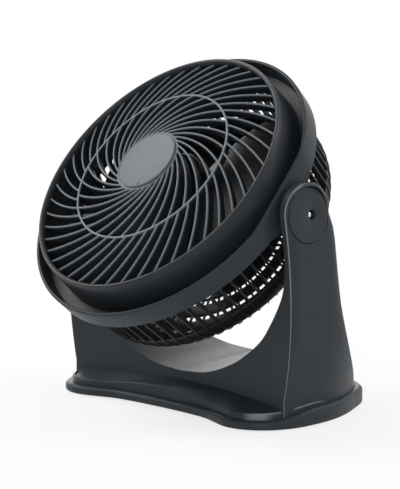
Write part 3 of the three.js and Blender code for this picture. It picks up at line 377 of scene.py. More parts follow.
def drop(piece, matrix):
    """Sets a piece made about the origin in place and leaves its place in the mesh."""
    piece.matrix_world = matrix
    select_only(piece)
    bpy.ops.object.transform_apply(location=True, rotation=True, scale=True)
    return piece


def apply_modifier(piece, kind, **settings):
    modifier = piece.modifiers.new(kind.lower(), kind)
    for label, value in settings.items():
        setattr(modifier, label, value)
    select_only(piece)
    bpy.ops.object.modifier_apply(modifier=modifier.name)


def carve(piece, tool):
    apply_modifier(piece, "BOOLEAN", object=tool, operation="DIFFERENCE", solver="EXACT")
    bpy.data.objects.remove(tool)


def join(name, pieces):
    select_only(*pieces)
    if len(pieces) > 1:
        bpy.ops.object.join()
    pieces[0].name = pieces[0].data.name = name
    return pieces[0]


def copy_turned(piece, count, first=0.0):
    """Copies of a piece round the Z axis, each with its own mesh, the first one in its place."""
    copies = []
    for number in range(count):
        turn = Matrix.Rotation(radians(first) + 2 * pi * number / count, 4, "Z")
        twin = piece.copy()
        twin.data = piece.data.copy()
        twin.data.transform(turn)
        bpy.context.scene.collection.objects.link(twin)
        copies.append(twin)
    bpy.data.objects.remove(piece)
    return copies


def settle(piece, material, body, stands_for=(), angle=34):
    """Last steps of every piece: smooth shading, finish and body, and hiding the solids that it stands for.
    """
    select_only(piece)
    bpy.ops.object.shade_smooth_by_angle(angle=radians(angle))
    piece.data.materials.clear()
    piece.data.materials.append(material)
    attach(piece, body)
    if stands_for:
        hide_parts(*stands_for)
    return piece


def smooth_line(points, steps):
    """Points on a smooth curve through the given ones."""
    line = []
    count = len(points)
    for i in range(count - 1):
        p0, p1 = points[max(i - 1, 0)], points[i]
        p2, p3 = points[i + 1], points[min(i + 2, count - 1)]
        for step in range(steps):
            t = step / steps
            line.append(tuple(
                0.5 * (2 * b + (c - a) * t + (2 * a - 5 * b + 4 * c - d) * t * t
                       + (3 * b - a - 3 * c + d) * t ** 3)
                for a, b, c, d in zip(p0, p1, p2, p3)))
    line.append(tuple(points[-1]))
    return line


def rounded(points, radius, steps=3, closed=False):
    """An outline with its corners rounded off; the ends of an open one stay sharp."""
    line = []
    count = len(points)
    for i, point in enumerate(points):
        if not closed and i in (0, count - 1):
            line.append(point)
            continue
        here = Vector(point)
        before = Vector(points[i - 1]) - here
        after = Vector(points[(i + 1) % count]) - here
        reach = min(radius, before.length * 0.45, after.length * 0.45)
        start = here + before.normalized() * reach
        end = here + after.normalized() * reach
        for step in range(steps + 1):
            t = step / steps
            spot = start * (1 - t) ** 2 + here * 2 * t * (1 - t) + end * t ** 2
            line.append((spot.x, spot.y))
    if closed:
        line.append(line[0])
    return line


def between(table, key):
    """Straight interpolation in a list of (key, value) pairs."""
    for (start, low), (end, high) in zip(table, table[1:]):
        if key <= end:
            break
    share = min(max((key - start) / (end - start), 0), 1)
    return low + (high - low) * share


# ------------------------------------------------------------------ base
SKIRT_OUTLINE = [
    (0, -26.5), (31, -27.4), (52, -29.8), (68, -35), (83, -39.6), (97, -38.8), (109, -33), (118.5, -23),
    (125.5, -7), (127.2, 14), (125.5, 36), (120, 57), (111, 78), (97, 104), (80, 117.4),
]
WALL_OUTLINE = [(0, -5), (30, -5.3), (55, -6.2), (76, -7.8), (92, -9.5), (104, -10.8), (112, -11.8)]
ARM_FRONT_Y = -12.5
ARM_FRONT_REACH = 11.7
ARM_TOP_RADIUS = 24.5
ARM_FLARE = 13.2
ARM_FLARE_HEIGHT = 48
ARM_CROWN = 2.2
CROWN_FADE = 0.12  # share of the side over which the crown fades out at either edge
SIDE_STATIONS = 18
FRONT_CORNER = 2.6
REAR_CORNER = 2
ARM_GAP_HALF = 125.5
SIDE_X = 118
SIDE_CURVE_START = 27
SIDE_CURVE = 0.0052
REAR_LINE = [(15, 103), (29, 85), (54, 63), (86, 45.5), (117, 37), (148, 31), (162.5, 24.5)]
REAR_CURVE = smooth_line(REAR_LINE, 6)
SADDLE_LINE = [
    (0, 28.2), (25, 30.1), (39, 33.6), (51, 38), (64, 44), (75, 50.8), (86, 58.6), (95, 66.5),
    (104, 78), (113, 91), (119, 101.5), (122.6, 112), (124.3, 122),
]
SADDLE_SLOPE = 4
TUNNEL_LENGTH = 400
SKIRT_RISE = 6.5
RISE_START = -24
RISE_LENGTH = 45
TIER_RISE_SHARE = 0.55
SKIRT_FOOT = 2.6  # the skirt rises above this height only, so that its foot stays level
SKIRT_FOOT_FADE = 1.8
TIER_INSET = 5.6
TIER_TOP = 13.4
TIER_LIFT = 3.8
LIP_REACH = 62
TRAY_TOP = 15
TRAY_LIFT = 6.1
CAP_FACE_X = 132.4
CAP_RADIUS = 21
CAP_THICKNESS = 1.8
CAP_LEAN = 4
CAP_SCREW_OFFSET = 3.5
SCREW_WELL = 3.9
OUTLINE_STEPS = 5


def mirrored(half):
    left = [(-x, y) for x, y in reversed(half[1:-1])]
    return [*half, *left]


def inset(outline, distance):
    """Moves every edge of a closed counter-clockwise outline inwards."""
    moved = []
    count = len(outline)
    for i, (x, y) in enumerate(outline):
        before, after = outline[i - 1], outline[(i + 1) % count]
        first = Vector((x - before[0], y - before[1])).normalized()
        second = Vector((after[0] - x, after[1] - y)).normalized()
        middle = (first + second).normalized()
        reach = distance / max(middle.dot(first), 0.5)
        moved.append((x - middle.y * reach, y + middle.x * reach))
    return moved


def skirt_outline():
    half = smooth_line(SKIRT_OUTLINE, OUTLINE_STEPS)
    half.append((0, SKIRT_OUTLINE[-1][1]))
    half[0] = (0, half[0][1])
    return mirrored(half)


def stack(name, sections):
    """A closed skin over outlines of equal count, given as (height, outline), lowest first."""
    rows = len(sections) - 1
    count = len(sections[0][1])

    def place(u, w):
        height, outline = sections[round(w * rows)]
        x, y, *lift = outline[round(u * count) % count]
        return x, y, height + sum(lift)

    return skin(name, count, rows, place, ends=True)


def rising(outline, share=1.0):
    """Raises an outline from the front corners to the rear, as the skirt's top edge does."""
    raised = []
    for x, y, *lift in outline:
        risen = share * SKIRT_RISE * ease((y - RISE_START) / RISE_LENGTH)
        raised.append((x, y, sum(lift) + risen))
    return raised


def crowned(outline, lift, reach):
    """Raises the front of an outline towards its middle."""
    return [(x, y, lift * max(0, 1 - (x / reach) ** 2) if y < 0 else 0) for x, y in outline]


# height and distance inwards of the skirt's rounded wall, from its underside up
SKIRT_EDGE = [
    (1.2, 1.4), (1.35, 0.6), (1.9, 0.15), (2.6, 0), (4.4, 0), (5.6, 0.1), (6.4, 0.45), (7.1, 1.1),
    (7.6, 1.9), (7.85, 2.7), (7.9, 3.4), (7.9, 6.5),
]


def make_base_plate():
    outline = skirt_outline()
    sections = []
    for height, reach in SKIRT_EDGE:
        share = min(max((height - SKIRT_FOOT) / SKIRT_FOOT_FADE, 0), 1)
        sections.append((height, rising(inset(outline, reach), share)))
    plate = drop(stack("base_skirt", sections), BASE)
    return settle(plate, CHARCOAL, "base", ["base_plate"])


def housing_half(z):
    """Half outline of the housing above its tray, the arm's corners rounded."""
    rise = min(max((z - TIER_TOP) / (PIVOT_HEIGHT - TIER_TOP), 0), 1)
    above = z - PIVOT_HEIGHT
    end = sqrt(max(ARM_TOP_RADIUS ** 2 - above ** 2, 4))
    front = -end if above > 0 else ARM_FRONT_Y - ARM_FRONT_REACH * rise ** 2.6
    rear = end if above > 0 else between(REAR_CURVE, z)
    lean = ARM_FLARE * (1 - exp(-(z - TIER_TOP) / ARM_FLARE_HEIGHT))
    flatten = min(max((150 - z) / 70, 0), 1)
    top_fade = sqrt(min(max((ARM_TOP_RADIUS - above) / 4, 0), 1))
    crown = ARM_CROWN * ease((z - 20) / 120) * top_fade

    def side_x(y):
        return SIDE_X + lean - SIDE_CURVE * max(0, y - SIDE_CURVE_START) ** 2

    corner = side_x(front)
    wall = [(x / SIDE_X * corner, front + (y - ARM_FRONT_Y) * flatten) for x, y in WALL_OUTLINE]
    front_line = smooth_line([*wall, (corner, front)], OUTLINE_STEPS)
    side_line = []
    for i in range(SIDE_STATIONS + 1):
        s = i / SIDE_STATIONS
        y = front + s * (rear - front)
        lift = crown * min(1, s / CROWN_FADE, (1 - s) / CROWN_FADE)
        side_line.append((side_x(y) + lift, y))
    tail = (side_line[-1][0] - 10, rear)
    line = [*front_line[:-2], *round_corner(front_line[-3], side_line[0], side_line[1], FRONT_CORNER)]
    line += side_line[1:-1]
    line += [*round_corner(side_line[-2], side_line[-1], tail, REAR_CORNER), tail, (0, rear)]
    line[0] = (0, line[0][1])
    return line


def round_corner(before, corner, after, radius, steps=4):
    here = Vector(corner)
    back = Vector(before) - here
    ahead = Vector(after) - here
    start = here + back.normalized() * min(radius, back.length * 0.6)
    end = here + ahead.normalized() * min(radius, ahead.length * 0.6)
    spots = []
    for step in range(steps + 1):
        t = step / steps
        spot = start * (1 - t) ** 2 + here * 2 * t * (1 - t) + end * t ** 2
        spots.append((spot.x, spot.y))
    return spots


def resample(outline, count):
    """The same closed outline with a given number of points, evenly spread along its length."""
    closed = [*outline, outline[0]]
    lengths = [0.0]
    for (x0, y0), (x1, y1) in zip(closed, closed[1:]):
        lengths.append(lengths[-1] + hypot(x1 - x0, y1 - y0))
    spots = []
    place = 0
    for i in range(count):
        goal = lengths[-1] * i / count
        while lengths[place + 1] < goal:
            place += 1
        share = (goal - lengths[place]) / max(lengths[place + 1] - lengths[place], 1e-9)
        (x0, y0), (x1, y1) = closed[place], closed[place + 1]
        spots.append((x0 + (x1 - x0) * share, y0 + (y1 - y0) * share))
    return spots


def saddle_tunnel():
    half = smooth_line(SADDLE_LINE, 6)
    top = PIVOT_HEIGHT + 2 * ARM_TOP_RADIUS
    half += [(ARM_GAP_HALF, PIVOT_HEIGHT - ARM_TOP_RADIUS), (ARM_GAP_HALF, top), (0, top)]
    outline = mirrored(half)
    count = len(outline)
    turn = radians(SADDLE_SLOPE)
    hinge_y, hinge_z = WALL_OUTLINE[0][1], SADDLE_LINE[0][1]

    def place(u, w):
        x, z = outline[round(u * count) % count]
        y, rise = (w - 0.5) * TUNNEL_LENGTH, z - hinge_z
        return x, hinge_y + y * cos(turn) - rise * sin(turn), hinge_z + y * sin(turn) + rise * cos(turn)

    return skin("saddle_tool", count, 1, place, ends=True)


def side_matrix(side, lean=0.0):
    """Turns a piece made along Z so that it points out sideways at the tilt axis."""
    face = Matrix.Translation((0, 0, CAP_FACE_X * MM))
    tipped = face @ Matrix.Rotation(-side * radians(lean), 4, "Y") @ face.inverted()
    return Matrix.Translation(PIVOT) @ Matrix.Rotation(side * pi / 2, 4, "Y") @ tipped


TIER_FOOT = 7
YOKE_FOOT = 9  # the arms start below the tray's surface
TIER_EDGE = [(11.6, 0), (12.6, 0.3), (13.2, 0.9), (TIER_TOP, 1.7), (13.2, 2.6), (12.4, 3.6)]
HOLLOW_DROP = 1.6
FOOT_INSET = 4
YOKE_LEVELS = [22, 26, 30, 36, 42, 50, 60, 70, 80, 92, 104, 117, 130, 142, 152]
ARM_TOP_RISES = (0, 5, 9, 13, 16, 18.5, 20.5, 22, 23, 23.6, 23.9)
POCKET_DEPTH_PLAY = 0.3
POCKET_PLAY = 0.6
HOUSING_BEVEL = 0.0009  # metres
CAP_BEVEL = 0.0004


def make_tray():
    """The upper tier with its raised lip, and the hollow tray that runs up to the arms' front wall."""
    count = 2 * (len(housing_half(YOKE_LEVELS[0])) - 1)
    tier = inset(resample(skirt_outline(), count), TIER_INSET)
    sections = [(TIER_FOOT, rising(tier))]
    for height, reach in TIER_EDGE:
        lip = crowned(inset(tier, reach), TIER_LIFT, LIP_REACH)
        sections.append((height, rising(lip, TIER_RISE_SHARE)))
    foot = resample(mirrored(housing_half(TRAY_TOP)), count)
    inner = inset(tier, TIER_EDGE[-1][1])
    hollow = [((x0 + 2 * x1) / 3, (y0 + 2 * y1) / 3) for (x0, y0), (x1, y1) in zip(inner, foot)]
    sections.append((TRAY_TOP - HOLLOW_DROP, crowned(hollow, (TIER_LIFT + TRAY_LIFT) / 2, SIDE_X)))
    sections.append((TRAY_TOP, crowned(foot, TRAY_LIFT, SIDE_X)))
    sections.append((TRAY_TOP, crowned(inset(foot, FOOT_INSET), TRAY_LIFT, SIDE_X)))
    return drop(stack("tray", sections), BASE)


def make_housing():
    heights = [*YOKE_LEVELS, *(PIVOT_HEIGHT + rise for rise in ARM_TOP_RISES)]
    sections = [(YOKE_FOOT, mirrored(housing_half(YOKE_LEVELS[0])))]
    sections += [(height, mirrored(housing_half(height))) for height in heights]
    tray = make_tray()
    body = drop(stack("yoke", sections), BASE)
    carve(body, drop(saddle_tunnel(), BASE))
    floor = CAP_FACE_X - CAP_THICKNESS - POCKET_DEPTH_PLAY
    for side in (1, -1):
        pocket = disc("pocket", CAP_RADIUS + POCKET_PLAY, floor, floor + 6)
        carve(body, drop(pocket, side_matrix(side, CAP_LEAN)))
        well = beside_axis(disc("well", SCREW_WELL, floor - 2, floor + 2, SMALL_STEPS))
        carve(body, drop(well, side_matrix(side, CAP_LEAN)))
    apply_modifier(body, "BEVEL", width=HOUSING_BEVEL, segments=2, limit_method="ANGLE",
                   angle_limit=radians(42), harden_normals=False)
    body = join("yoke", [body, tray])
    return settle(body, HOUSING, "base", ["yoke_housing"], angle=40)


def disc(name, radius, start, end, steps=ROUND_STEPS):
    return spun(name, [(0, start), (radius, start), (radius, end), (0, end)], steps)


def beside_axis(piece):
    """Moves a piece from the middle of the cap to the cap's screw."""
    piece.data.transform(Matrix.Translation((0, CAP_SCREW_OFFSET * MM, 0)))
    return piece


def make_caps():
    back = CAP_FACE_X - CAP_THICKNESS
    face = CAP_FACE_X - 0.02
    cap_profile = [
        (0, back), (CAP_RADIUS - 0.3, back), (CAP_RADIUS, back + 0.3), (CAP_RADIUS, back + 1.0),
        (CAP_RADIUS - 0.2, CAP_FACE_X - 0.35), (CAP_RADIUS - 0.7, CAP_FACE_X - 0.1),
        (CAP_RADIUS - 2.1, face), (0, face),
    ]
    screw_profile = [
        (0, back - 2.1), (2.9, back - 2.1), (2.9, back - 1.2), (2.4, back - 0.6), (1.3, back - 0.2),
        (0, back - 0.1),
    ]
    for name, side in (("right", 1), ("left", -1)):
        cap = spun(f"arm_cap_{name}", cap_profile)
        carve(cap, beside_axis(disc("hole", SCREW_WELL, back - 1, CAP_FACE_X + 1, SMALL_STEPS)))
        apply_modifier(cap, "BEVEL", width=CAP_BEVEL, segments=2, limit_method="ANGLE",
                       angle_limit=radians(50))
        drop(cap, side_matrix(side, CAP_LEAN))
        settle(cap, CHARCOAL, "base", [f"pivot_cap_{name}"])
        head = beside_axis(spun(f"arm_screw_{name}", screw_profile, 32))
        drop(head, side_matrix(side, CAP_LEAN))
        settle(head, ZINC, "base", [f"cap_screw_{name}"])


FOOT_PLACES = [(92, -18), (-92, -18), (68, 96), (-68, 96)]
FOOT_RADIUS = 9
FOOT_HEIGHT = 2.4


def make_feet():
    for number, (x, y) in enumerate(FOOT_PLACES, 1):
        profile = rounded([(0, 0), (FOOT_RADIUS, 0), (FOOT_RADIUS, FOOT_HEIGHT), (0, FOOT_HEIGHT)], 0.6)
        foot = spun(f"rubber_foot_{number}", profile, 48)
        drop(foot, BASE @ Matrix.Translation((x * MM, y * MM, 0)))
        settle(foot, RUBBER, "base", [f"foot_{number}"])


# ------------------------------------------------------------------ head
FLAT_BLEND = 1.2
UNCUT = 999
# radius, distance of the flat sides and place along the axis, round the ring's section
RING_SECTION = [
    (109.0, UNCUT, 11.4), (113.5, UNCUT, 11.4), (119.0, 116.9, 11.5), (122.0, 117.0, 11.8),
    (122.8, 117.3, 12.8), (123.0, 117.5, 15.0), (123.1, 117.6, 25.4), (123.3, 117.8, 26.1),
    (123.8, 118.3, 26.45), (124.7, 119.2, 26.5), (125.4, 119.9, 26.3), (125.8, 120.3, 25.9),
    (126.0, 120.5, 25.2), (125.9, 120.5, 22.0), (125.3, 120.4, 9.6), (125.1, 120.2, 8.9),
    (124.5, 119.7, 8.5), (123.6, 118.8, 8.4), (113.5, UNCUT, 8.4), (109.0, UNCUT, 8.4), (109.0, UNCUT, 11.4),
]
RING_STEPS = 216
PIN_RADIUS = 8
PIN_START, PIN_END = 119.5, 128.4
EAR_FACE = 117.4
EAR_THICKNESS = 3.1
EAR_RADIUS = 17.5
EAR_BEVEL = 0.0006  # metres


def flat_sided(radius, flat, turn):
    """A point on a circle that is cut flat on its left and right sides, the corners eased."""
    x, y = radius * cos(turn), radius * sin(turn)
    over = abs(x) - flat
    eased = abs(x) if flat == UNCUT else flat + 0.5 * (over - sqrt(over * over + FLAT_BLEND ** 2))
    return (eased if x > 0 else -eased), y


def make_ring():
    """Outer ring wall, its flats and the web behind the front grille."""
    rows = len(RING_SECTION) - 1

    def place(u, w):
        radius, flat, along = RING_SECTION[round(w * rows)]
        x, y = flat_sided(radius, flat, 2 * pi * u)
        return x, y, along

    parts = [skin("ring_wall", RING_STEPS, rows, place)]
    pin_profile = rounded(
        [(0, PIN_START), (PIN_RADIUS, PIN_START), (PIN_RADIUS, PIN_END), (0, PIN_END)], 0.5)
    for side in (1, -1):
        parts.append(make_ear(side))
        pin = spun("pin", pin_profile, 48)
        pin.data.transform(Matrix.Rotation(side * pi / 2, 4, "Y"))
        parts.append(pin)
    ring = join("ring_shell", parts)
    drop(ring, HEAD)
    return settle(ring, CHARCOAL, "head", ["ring_housing"], angle=40)


def make_ear(side):
    """The plate that reaches back from a flat of the ring round the tilt axis."""
    outline = [(9.5, -33), (9.5, 33), (8.4, 31), (3, 19.5)]
    outline += [(EAR_RADIUS * cos(radians(a)), EAR_RADIUS * sin(radians(a))) for a in range(90, 271, 9)]
    outline += [(3, -19.5), (8.4, -31)]
    count = len(outline)

    def place(u, w):
        along, up = outline[round(u * count) % count]
        return side * (EAR_FACE + EAR_THICKNESS * w), up, along

    ear = skin("ear", count, 1, place, ends=True)
    apply_modifier(ear, "BEVEL", width=EAR_BEVEL, segments=2, limit_method="ANGLE", angle_limit=radians(50))
    return ear


INNER_RIBS = 30
OUTER_RIBS = 45
SPIRAL_RATE = 0.91
SPIRAL_HOOK = 7.5
HUB_RADIUS = 27.4
HOOP_RADIUS = 69.5
HOOK_START = 28.4
HOOK_LENGTH = 7
RIB_END_RADIUS = 108.6
RIB_DEPTH = 8.0
# half thickness and depth of a rib from its rounded front edge back
RIB_SECTION = [
    (-0.30, 0), (0.30, 0), (0.62, -0.18), (0.82, -0.6), (0.86, -1.4), (0.80, -4.5), (0.62, -RIB_DEPTH),
    (-0.62, -RIB_DEPTH), (-0.80, -4.5), (-0.86, -1.4), (-0.82, -0.6), (-0.62, -0.18),
]
SLOPE_STEP = 0.05
INNER_RIBS_TURN = -0.4  # degrees
OUTER_RIBS_TURN = -4.0
BEZEL_SECTION = [
    (110.4, 11.8), (113.0, 11.8), (112.6, 26.0), (112.1, 38.0), (111.75, 42.3), (111.0, 43.25),
    (110.2, 43.2), (108.8, 42.6), (108.2, 41.6), (108.5, 36.0), (109.6, 31.0),
]


def dome(radius):
    return DOME_HEIGHT - DOME_CURVE * radius ** 2


def spiral(radius):
    """Clockwise degrees that a rib has turned at a radius, counted from the middle hoop."""
    def hook(r):
        return SPIRAL_HOOK * exp(-(r - HOOK_START) / HOOK_LENGTH)
    return degrees(SPIRAL_RATE * log(radius / HOOP_RADIUS)) - hook(radius) + hook(HOOP_RADIUS)


def make_rib(name, start, end, steps):
    count = len(RIB_SECTION)

    def place(u, w):
        radius = start * (end / start) ** w
        side, depth = RIB_SECTION[round(u * count) % count]
        turn = pi / 2 - radians(spiral(radius))
        slope = -radians(spiral(radius + SLOPE_STEP) - spiral(radius)) / SLOPE_STEP * radius
        across = Vector((-sin(turn), cos(turn), 0))
        tangent = Vector((cos(turn), sin(turn), 0)) + across * slope
        normal = Vector((-tangent.y, tangent.x, 0)).normalized()
        return Vector((radius * cos(turn), radius * sin(turn), dome(radius) + depth)) + normal * side

    return skin(name, count, steps, place, ends=True)


def make_grille():
    inner = make_rib("inner_rib", HUB_RADIUS, HOOP_RADIUS, 18)
    outer = make_rib("outer_rib", HOOP_RADIUS, RIB_END_RADIUS, 12)
    ribs = copy_turned(inner, INNER_RIBS, INNER_RIBS_TURN)
    ribs += copy_turned(outer, OUTER_RIBS, OUTER_RIBS_TURN)
    hoop_front = dome(HOOP_RADIUS) + 0.05
    hoop = spun("hoop", rounded([
        (HOOP_RADIUS - 0.7, hoop_front - 6), (HOOP_RADIUS + 0.7, hoop_front - 6),
        (HOOP_RADIUS + 0.85, hoop_front), (HOOP_RADIUS - 0.85, hoop_front)], 0.45, closed=True), 180)
    hub_front = dome(HUB_RADIUS + 1)
    hub = spun("hub", [
        (0, hub_front - 8), (27.0, hub_front - 8), (28.1, hub_front - 6), (28.4, hub_front - 0.6),
        (28.2, hub_front - 0.15), (27.7, hub_front), (0, hub_front)], 120)
    bezel = spun("bezel", rounded(BEZEL_SECTION, 0.5, closed=True), 240)
    grille = join("spiral_grille", [bezel, hoop, hub, *ribs])
    drop(grille, HEAD)
    return settle(grille, GRILLE, "head", ["front_grille"], angle=38)


BADGE_THICKNESS = 1.6
PIP_PLACE = (6.3, -22.3)


def make_badge():
    """A bare disc with a raised rim, and a small locating pip near its lower edge."""
    seat = dome(HOOK_START) + 0.3
    face = seat + BADGE_THICKNESS
    badge = spun("badge_disc", [
        (0, seat), (26.2, seat), (26.6, seat + 0.3), (26.6, face - 0.5), (26.45, face - 0.15), (26.1, face),
        (25.7, face), (25.45, face - 0.15), (25.3, face - 0.4), (24.9, face - 0.5), (0, face - 0.45)], 144)
    pip = spun("pip", [
        (0, face - 1), (0.9, face - 1), (0.9, face - 0.1), (0.6, face + 0.15), (0, face + 0.2)], 24)
    pip.data.transform(Matrix.Translation((PIP_PLACE[0] * MM, PIP_PLACE[1] * MM, 0)))
    badge = join("badge_disc", [badge, pip])
    drop(badge, HEAD)
    return settle(badge, BADGE, "head", ["grille_badge"])


BASKET_RIBS = 72
BASKET_RIB_DEPTH = 4.2
REAR_RIB_DEPTH = 1.8
# half thickness and share of the depth round a basket rib
BASKET_RIB_SECTION = [(-0.6, 0), (0.6, 0), (0.95, -0.5), (0.85, -1), (-0.85, -1), (-0.95, -0.5)]
REAR_START = 12  # first point of the basket's line at which its ribs are thin
LINER_POINTS = slice(6, 14)
LINER_INSET = (0.9, 0.4)
LINER_THICKNESS = (1.3, 0.6)
BASKET_REAR = -57
BASKET_PLATE_RADIUS = 57
HOOP_STEPS = 180
# inner and outer radius and rearmost place of the basket's flat hoops
FLAT_HOOPS = (
    ("tail_hoop", 89.5, 92, -54.6), ("rear_hoop", 76.5, 84.5, -56.9), ("mid_hoop", 61.5, 72, -56.9),
)
FLAT_HOOP_DEPTH = 1.9


def basket_line():
    """Meridian of the basket's outer skin from the front flange to the rear plate: (radius, along)."""
    line = [(116.8, 8.1), (116.5, 4.5), (115.9, -2), (115.0, -11), (114.1, -20), (113.6, -25)]
    for turn in range(10, 91, 8):
        line.append((82 + 31.6 * cos(radians(turn)), -25 - 32 * sin(radians(turn))))
    line += [(radius, BASKET_REAR) for radius in (79, 66, 52, 44)]
    return line


def make_basket():
    line = basket_line()
    rows = len(line) - 1
    count = len(BASKET_RIB_SECTION)

    def place(u, w):
        i = round(w * rows)
        radius, along = line[i]
        before, after = line[max(i - 1, 0)], line[min(i + 1, rows)]
        tangent = Vector((after[0] - before[0], after[1] - before[1])).normalized()
        side, depth = BASKET_RIB_SECTION[round(u * count) % count]
        back = (BASKET_RIB_DEPTH if i < REAR_START else REAR_RIB_DEPTH) * -depth
        return radius + tangent.y * back, side, along - tangent.x * back

    def hoop(name, outer, along, width, depth, rounding=0.35):
        inner, rear, front = outer - depth, along - width / 2, along + width / 2
        points = [(inner, rear), (outer, rear), (outer, front), (inner, front)]
        return spun(name, rounded(points, rounding, closed=True), HOOP_STEPS)

    # the liner band behind the ribs gets a darker finish as painted shade
    outer_line = [(radius - LINER_INSET[0], along + LINER_INSET[1]) for radius, along in line[LINER_POINTS]]
    thick, rise = LINER_THICKNESS
    inner_line = [(radius - thick, along + rise) for radius, along in outer_line[::-1]]
    liner = drop(spun("basket_liner", [*outer_line, *inner_line, outer_line[0]], HOOP_STEPS), HEAD)
    settle(liner, SHADED_LINER, "head")

    ribs = copy_turned(skin("basket_rib", count, rows, place, ends=True), BASKET_RIBS)
    rings = [hoop("flange", 116.7, 6.3, 3.6, 6.5), hoop("lower_hoop", 112.4, -29.5, 1.4, 2.4)]
    for name, inner, outer, rear in FLAT_HOOPS:
        middle = rear + FLAT_HOOP_DEPTH / 2
        rings.append(hoop(name, outer, middle, FLAT_HOOP_DEPTH, outer - inner, 0.4))
    plate = spun("plate", rounded([
        (0, BASKET_REAR), (BASKET_PLATE_RADIUS, BASKET_REAR), (BASKET_PLATE_RADIUS, BASKET_REAR + 2.2),
        (0, BASKET_REAR + 2.2)], 0.5), 120)
    basket = drop(join("basket_cage", [plate, *rings, *ribs]), HEAD)
    return settle(basket, BASKET, "head", ["rear_basket"], angle=38)


# ------------------------------------------------------------------ rotor
BLADES_COUNT = 3
BLADE_ROOT = 28.8
BLADE_RADIUS = 101
BLADE_THICKNESS = 2.2
BLADE_ROOT_SPAN = 100  # degrees
BLADE_TIP_SPAN = 108
BLADE_SWEEP = 22
IMPELLER_ANGLE = 30
BLADE_ROOT_HEIGHT = 25
BLADE_TIP_HEIGHT = 19
BLADE_MIDDLE = 13.5
BLADE_CAMBER = 3
TIP_ROUNDING = 9
CHORD_STEPS = 28
RADIAL_STEPS = 20


def make_impeller():
    def place(u, w):
        # u runs once round the section of the blade, w from root to tip
        around = u * 2
        t, lift = (around, 1) if around <= 1 else (2 - around, -1)
        edge = min(1.0, sqrt(max(0.0, 1 - (2 * t - 1) ** 8)))
        radius = BLADE_ROOT + (BLADE_RADIUS - BLADE_ROOT) * w - TIP_ROUNDING * (2 * t - 1) ** 4 * w ** 6
        span = BLADE_ROOT_SPAN + (BLADE_TIP_SPAN - BLADE_ROOT_SPAN) * w
        turn = radians(IMPELLER_ANGLE - BLADE_SWEEP * w + span * (t - 0.5))
        height = BLADE_ROOT_HEIGHT + (BLADE_TIP_HEIGHT - BLADE_ROOT_HEIGHT) * w
        camber = BLADE_CAMBER * sin(pi * t)
        along = BLADE_MIDDLE + height * (0.5 - t) + camber + lift * edge * BLADE_THICKNESS / 2
        return radius * cos(turn), radius * sin(turn), along

    blade = skin("blade", 2 * CHORD_STEPS, RADIAL_STEPS, place, ends=True)
    blades = copy_turned(blade, BLADES_COUNT)
    hub = spun("hub", rounded([
        (4.3, 1), (9, 1), (9, 26.6), (23.6, 26.6), (27.6, 22.6), (27.6, -2), (30, -2), (30, 25), (26, 29),
        (4.3, 29)], 0.8, closed=True), 96)
    impeller = join("fan_blades", [hub, *blades])
    drop(impeller, HEAD)
    return settle(impeller, BLADES, "rotor", ["impeller"], angle=45)


def make_spinner():
    spinner = spun("blade_nut", rounded([
        (4.3, 29.3), (13, 29.3), (12, 35.3), (9, 38.3), (0, 38.3)], 1.2), 64)
    drop(spinner, HEAD)
    return settle(spinner, BLACK, "rotor", ["spinner_nut"])


def dress_solids():
    finishes = {
        "motor_rear_shell": PRESSED, "motor_front_shell": PRESSED, "motor_stator": COPPER,
        "bearing_rear": GROUND, "bearing_front": GROUND, "motor_shaft": GROUND, "rotor_core": PRESSED,
        "rear_cover": CHARCOAL, "cord_gland": RUBBER, "speed_switch": BLACK, "speed_knob": BLACK,
        "pivot_washer_right": BLACK, "pivot_washer_left": BLACK,
    }
    for name, node in frame["nodes"].items():
        finish = finishes.get(name, ZINC if "screw" in name else CHARCOAL)
        node.data.materials.clear()
        node.data.materials.append(finish)


# ------------------------------------------------------------------ studio
SHADOW_REACH = 0.55  # metres round the fan in which the floor shows its shadow
NEAR_GLOW = 0.72  # share of plain white in the floor's look beside the fan


def seen_directly(tree, path):
    """One for camera, glossy and transmission rays, nought for the rays that light the scene."""
    total = path.outputs["Is Camera Ray"]
    for label in ("Is Glossy Ray", "Is Transmission Ray"):
        larger = tree.nodes.new("ShaderNodeMath")
        larger.operation = "MAXIMUM"
        tree.links.new(total, larger.inputs[0])
        tree.links.new(path.outputs[label], larger.inputs[1])
        total = larger.outputs[0]
    return total


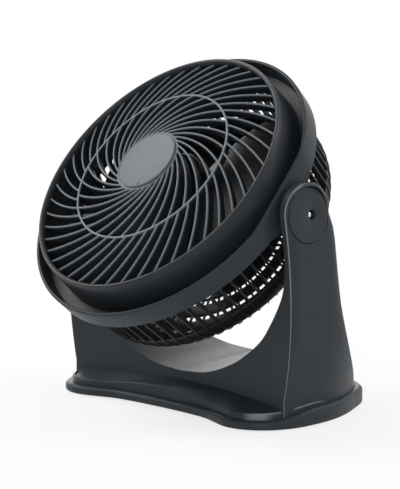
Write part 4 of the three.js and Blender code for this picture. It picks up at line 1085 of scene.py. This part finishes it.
def make_floor_material():
    white = bpy.data.materials.new("studio_white")
    white.use_nodes = True
    tree = white.node_tree
    shader = tree.nodes["Principled BSDF"]
    shader.inputs["Base Color"].default_value = (0.9, 0.9, 0.9, 1)
    shader.inputs["Roughness"].default_value = 0.9
    glow = tree.nodes.new("ShaderNodeEmission")
    glow.inputs["Strength"].default_value = 1.0
    coords = tree.nodes.new("ShaderNodeTexCoord")
    length = tree.nodes.new("ShaderNodeVectorMath")
    length.operation = "LENGTH"
    tree.links.new(coords.outputs["Object"], length.inputs[0])
    far = tree.nodes.new("ShaderNodeMapRange")
    far.inputs["From Max"].default_value = SHADOW_REACH
    far.inputs["To Min"].default_value = NEAR_GLOW
    far.inputs["To Max"].default_value = 1.0
    tree.links.new(length.outputs["Value"], far.inputs["Value"])
    path = tree.nodes.new("ShaderNodeLightPath")
    share = tree.nodes.new("ShaderNodeMath")
    share.operation = "MULTIPLY"
    tree.links.new(far.outputs["Result"], share.inputs[0])
    tree.links.new(seen_directly(tree, path), share.inputs[1])
    mix = tree.nodes.new("ShaderNodeMixShader")
    tree.links.new(share.outputs[0], mix.inputs["Fac"])
    tree.links.new(shader.outputs["BSDF"], mix.inputs[1])
    tree.links.new(glow.outputs["Emission"], mix.inputs[2])
    tree.links.new(mix.outputs["Shader"], tree.nodes["Material Output"].inputs["Surface"])
    return white


def make_studio():
    bpy.ops.object.select_all(action="DESELECT")
    bpy.ops.mesh.primitive_plane_add(size=12)
    floor = bpy.context.object
    floor.name = "floor"
    floor.data.materials.append(make_floor_material())

    world = bpy.data.worlds.new("studio")
    bpy.context.scene.world = world
    world.use_nodes = True
    tree = world.node_tree
    lit = tree.nodes["Background"]
    lit.inputs["Color"].default_value = (0.93, 0.96, 1.0, 1)
    lit.inputs["Strength"].default_value = 0.4
    shown = tree.nodes.new("ShaderNodeBackground")
    shown.inputs["Color"].default_value = (1, 1, 1, 1)
    shown.inputs["Strength"].default_value = 1.0
    path = tree.nodes.new("ShaderNodeLightPath")
    mix = tree.nodes.new("ShaderNodeMixShader")
    tree.links.new(seen_directly(tree, path), mix.inputs["Fac"])
    tree.links.new(lit.outputs["Background"], mix.inputs[1])
    tree.links.new(shown.outputs["Background"], mix.inputs[2])
    tree.links.new(mix.outputs["Shader"], tree.nodes["World Output"].inputs["Surface"])

    lamp("key", (-1.2, -0.6, 1.35), 1.0, 19)
    lamp("low_back", (-1.6, 1.3, 0.45), 1.5, 16)
    lamp("front", (1.25, -1.3, 0.5), 0.3, 9, 0.9)
    lamp("rim", (0.9, 1.1, 1.2), 0.8, 10)


def lamp(name, place, size, power, height=None):
    data = bpy.data.lights.new(name, "AREA")
    data.shape = "RECTANGLE"
    data.size = size
    data.size_y = height or size
    data.energy = power
    light = bpy.data.objects.new(name, data)
    light.location = place
    light.rotation_euler = (Vector((0, 0, 0.14)) - Vector(place)).to_track_quat("-Z", "Y").to_euler()
    bpy.context.scene.collection.objects.link(light)


make_camera()
dress_solids()
make_base_plate()
make_housing()
make_caps()
make_feet()
make_ring()
make_grille()
make_badge()
make_basket()
make_impeller()
make_spinner()
make_studio()
bpy.context.scene.view_settings.view_transform = "Standard"
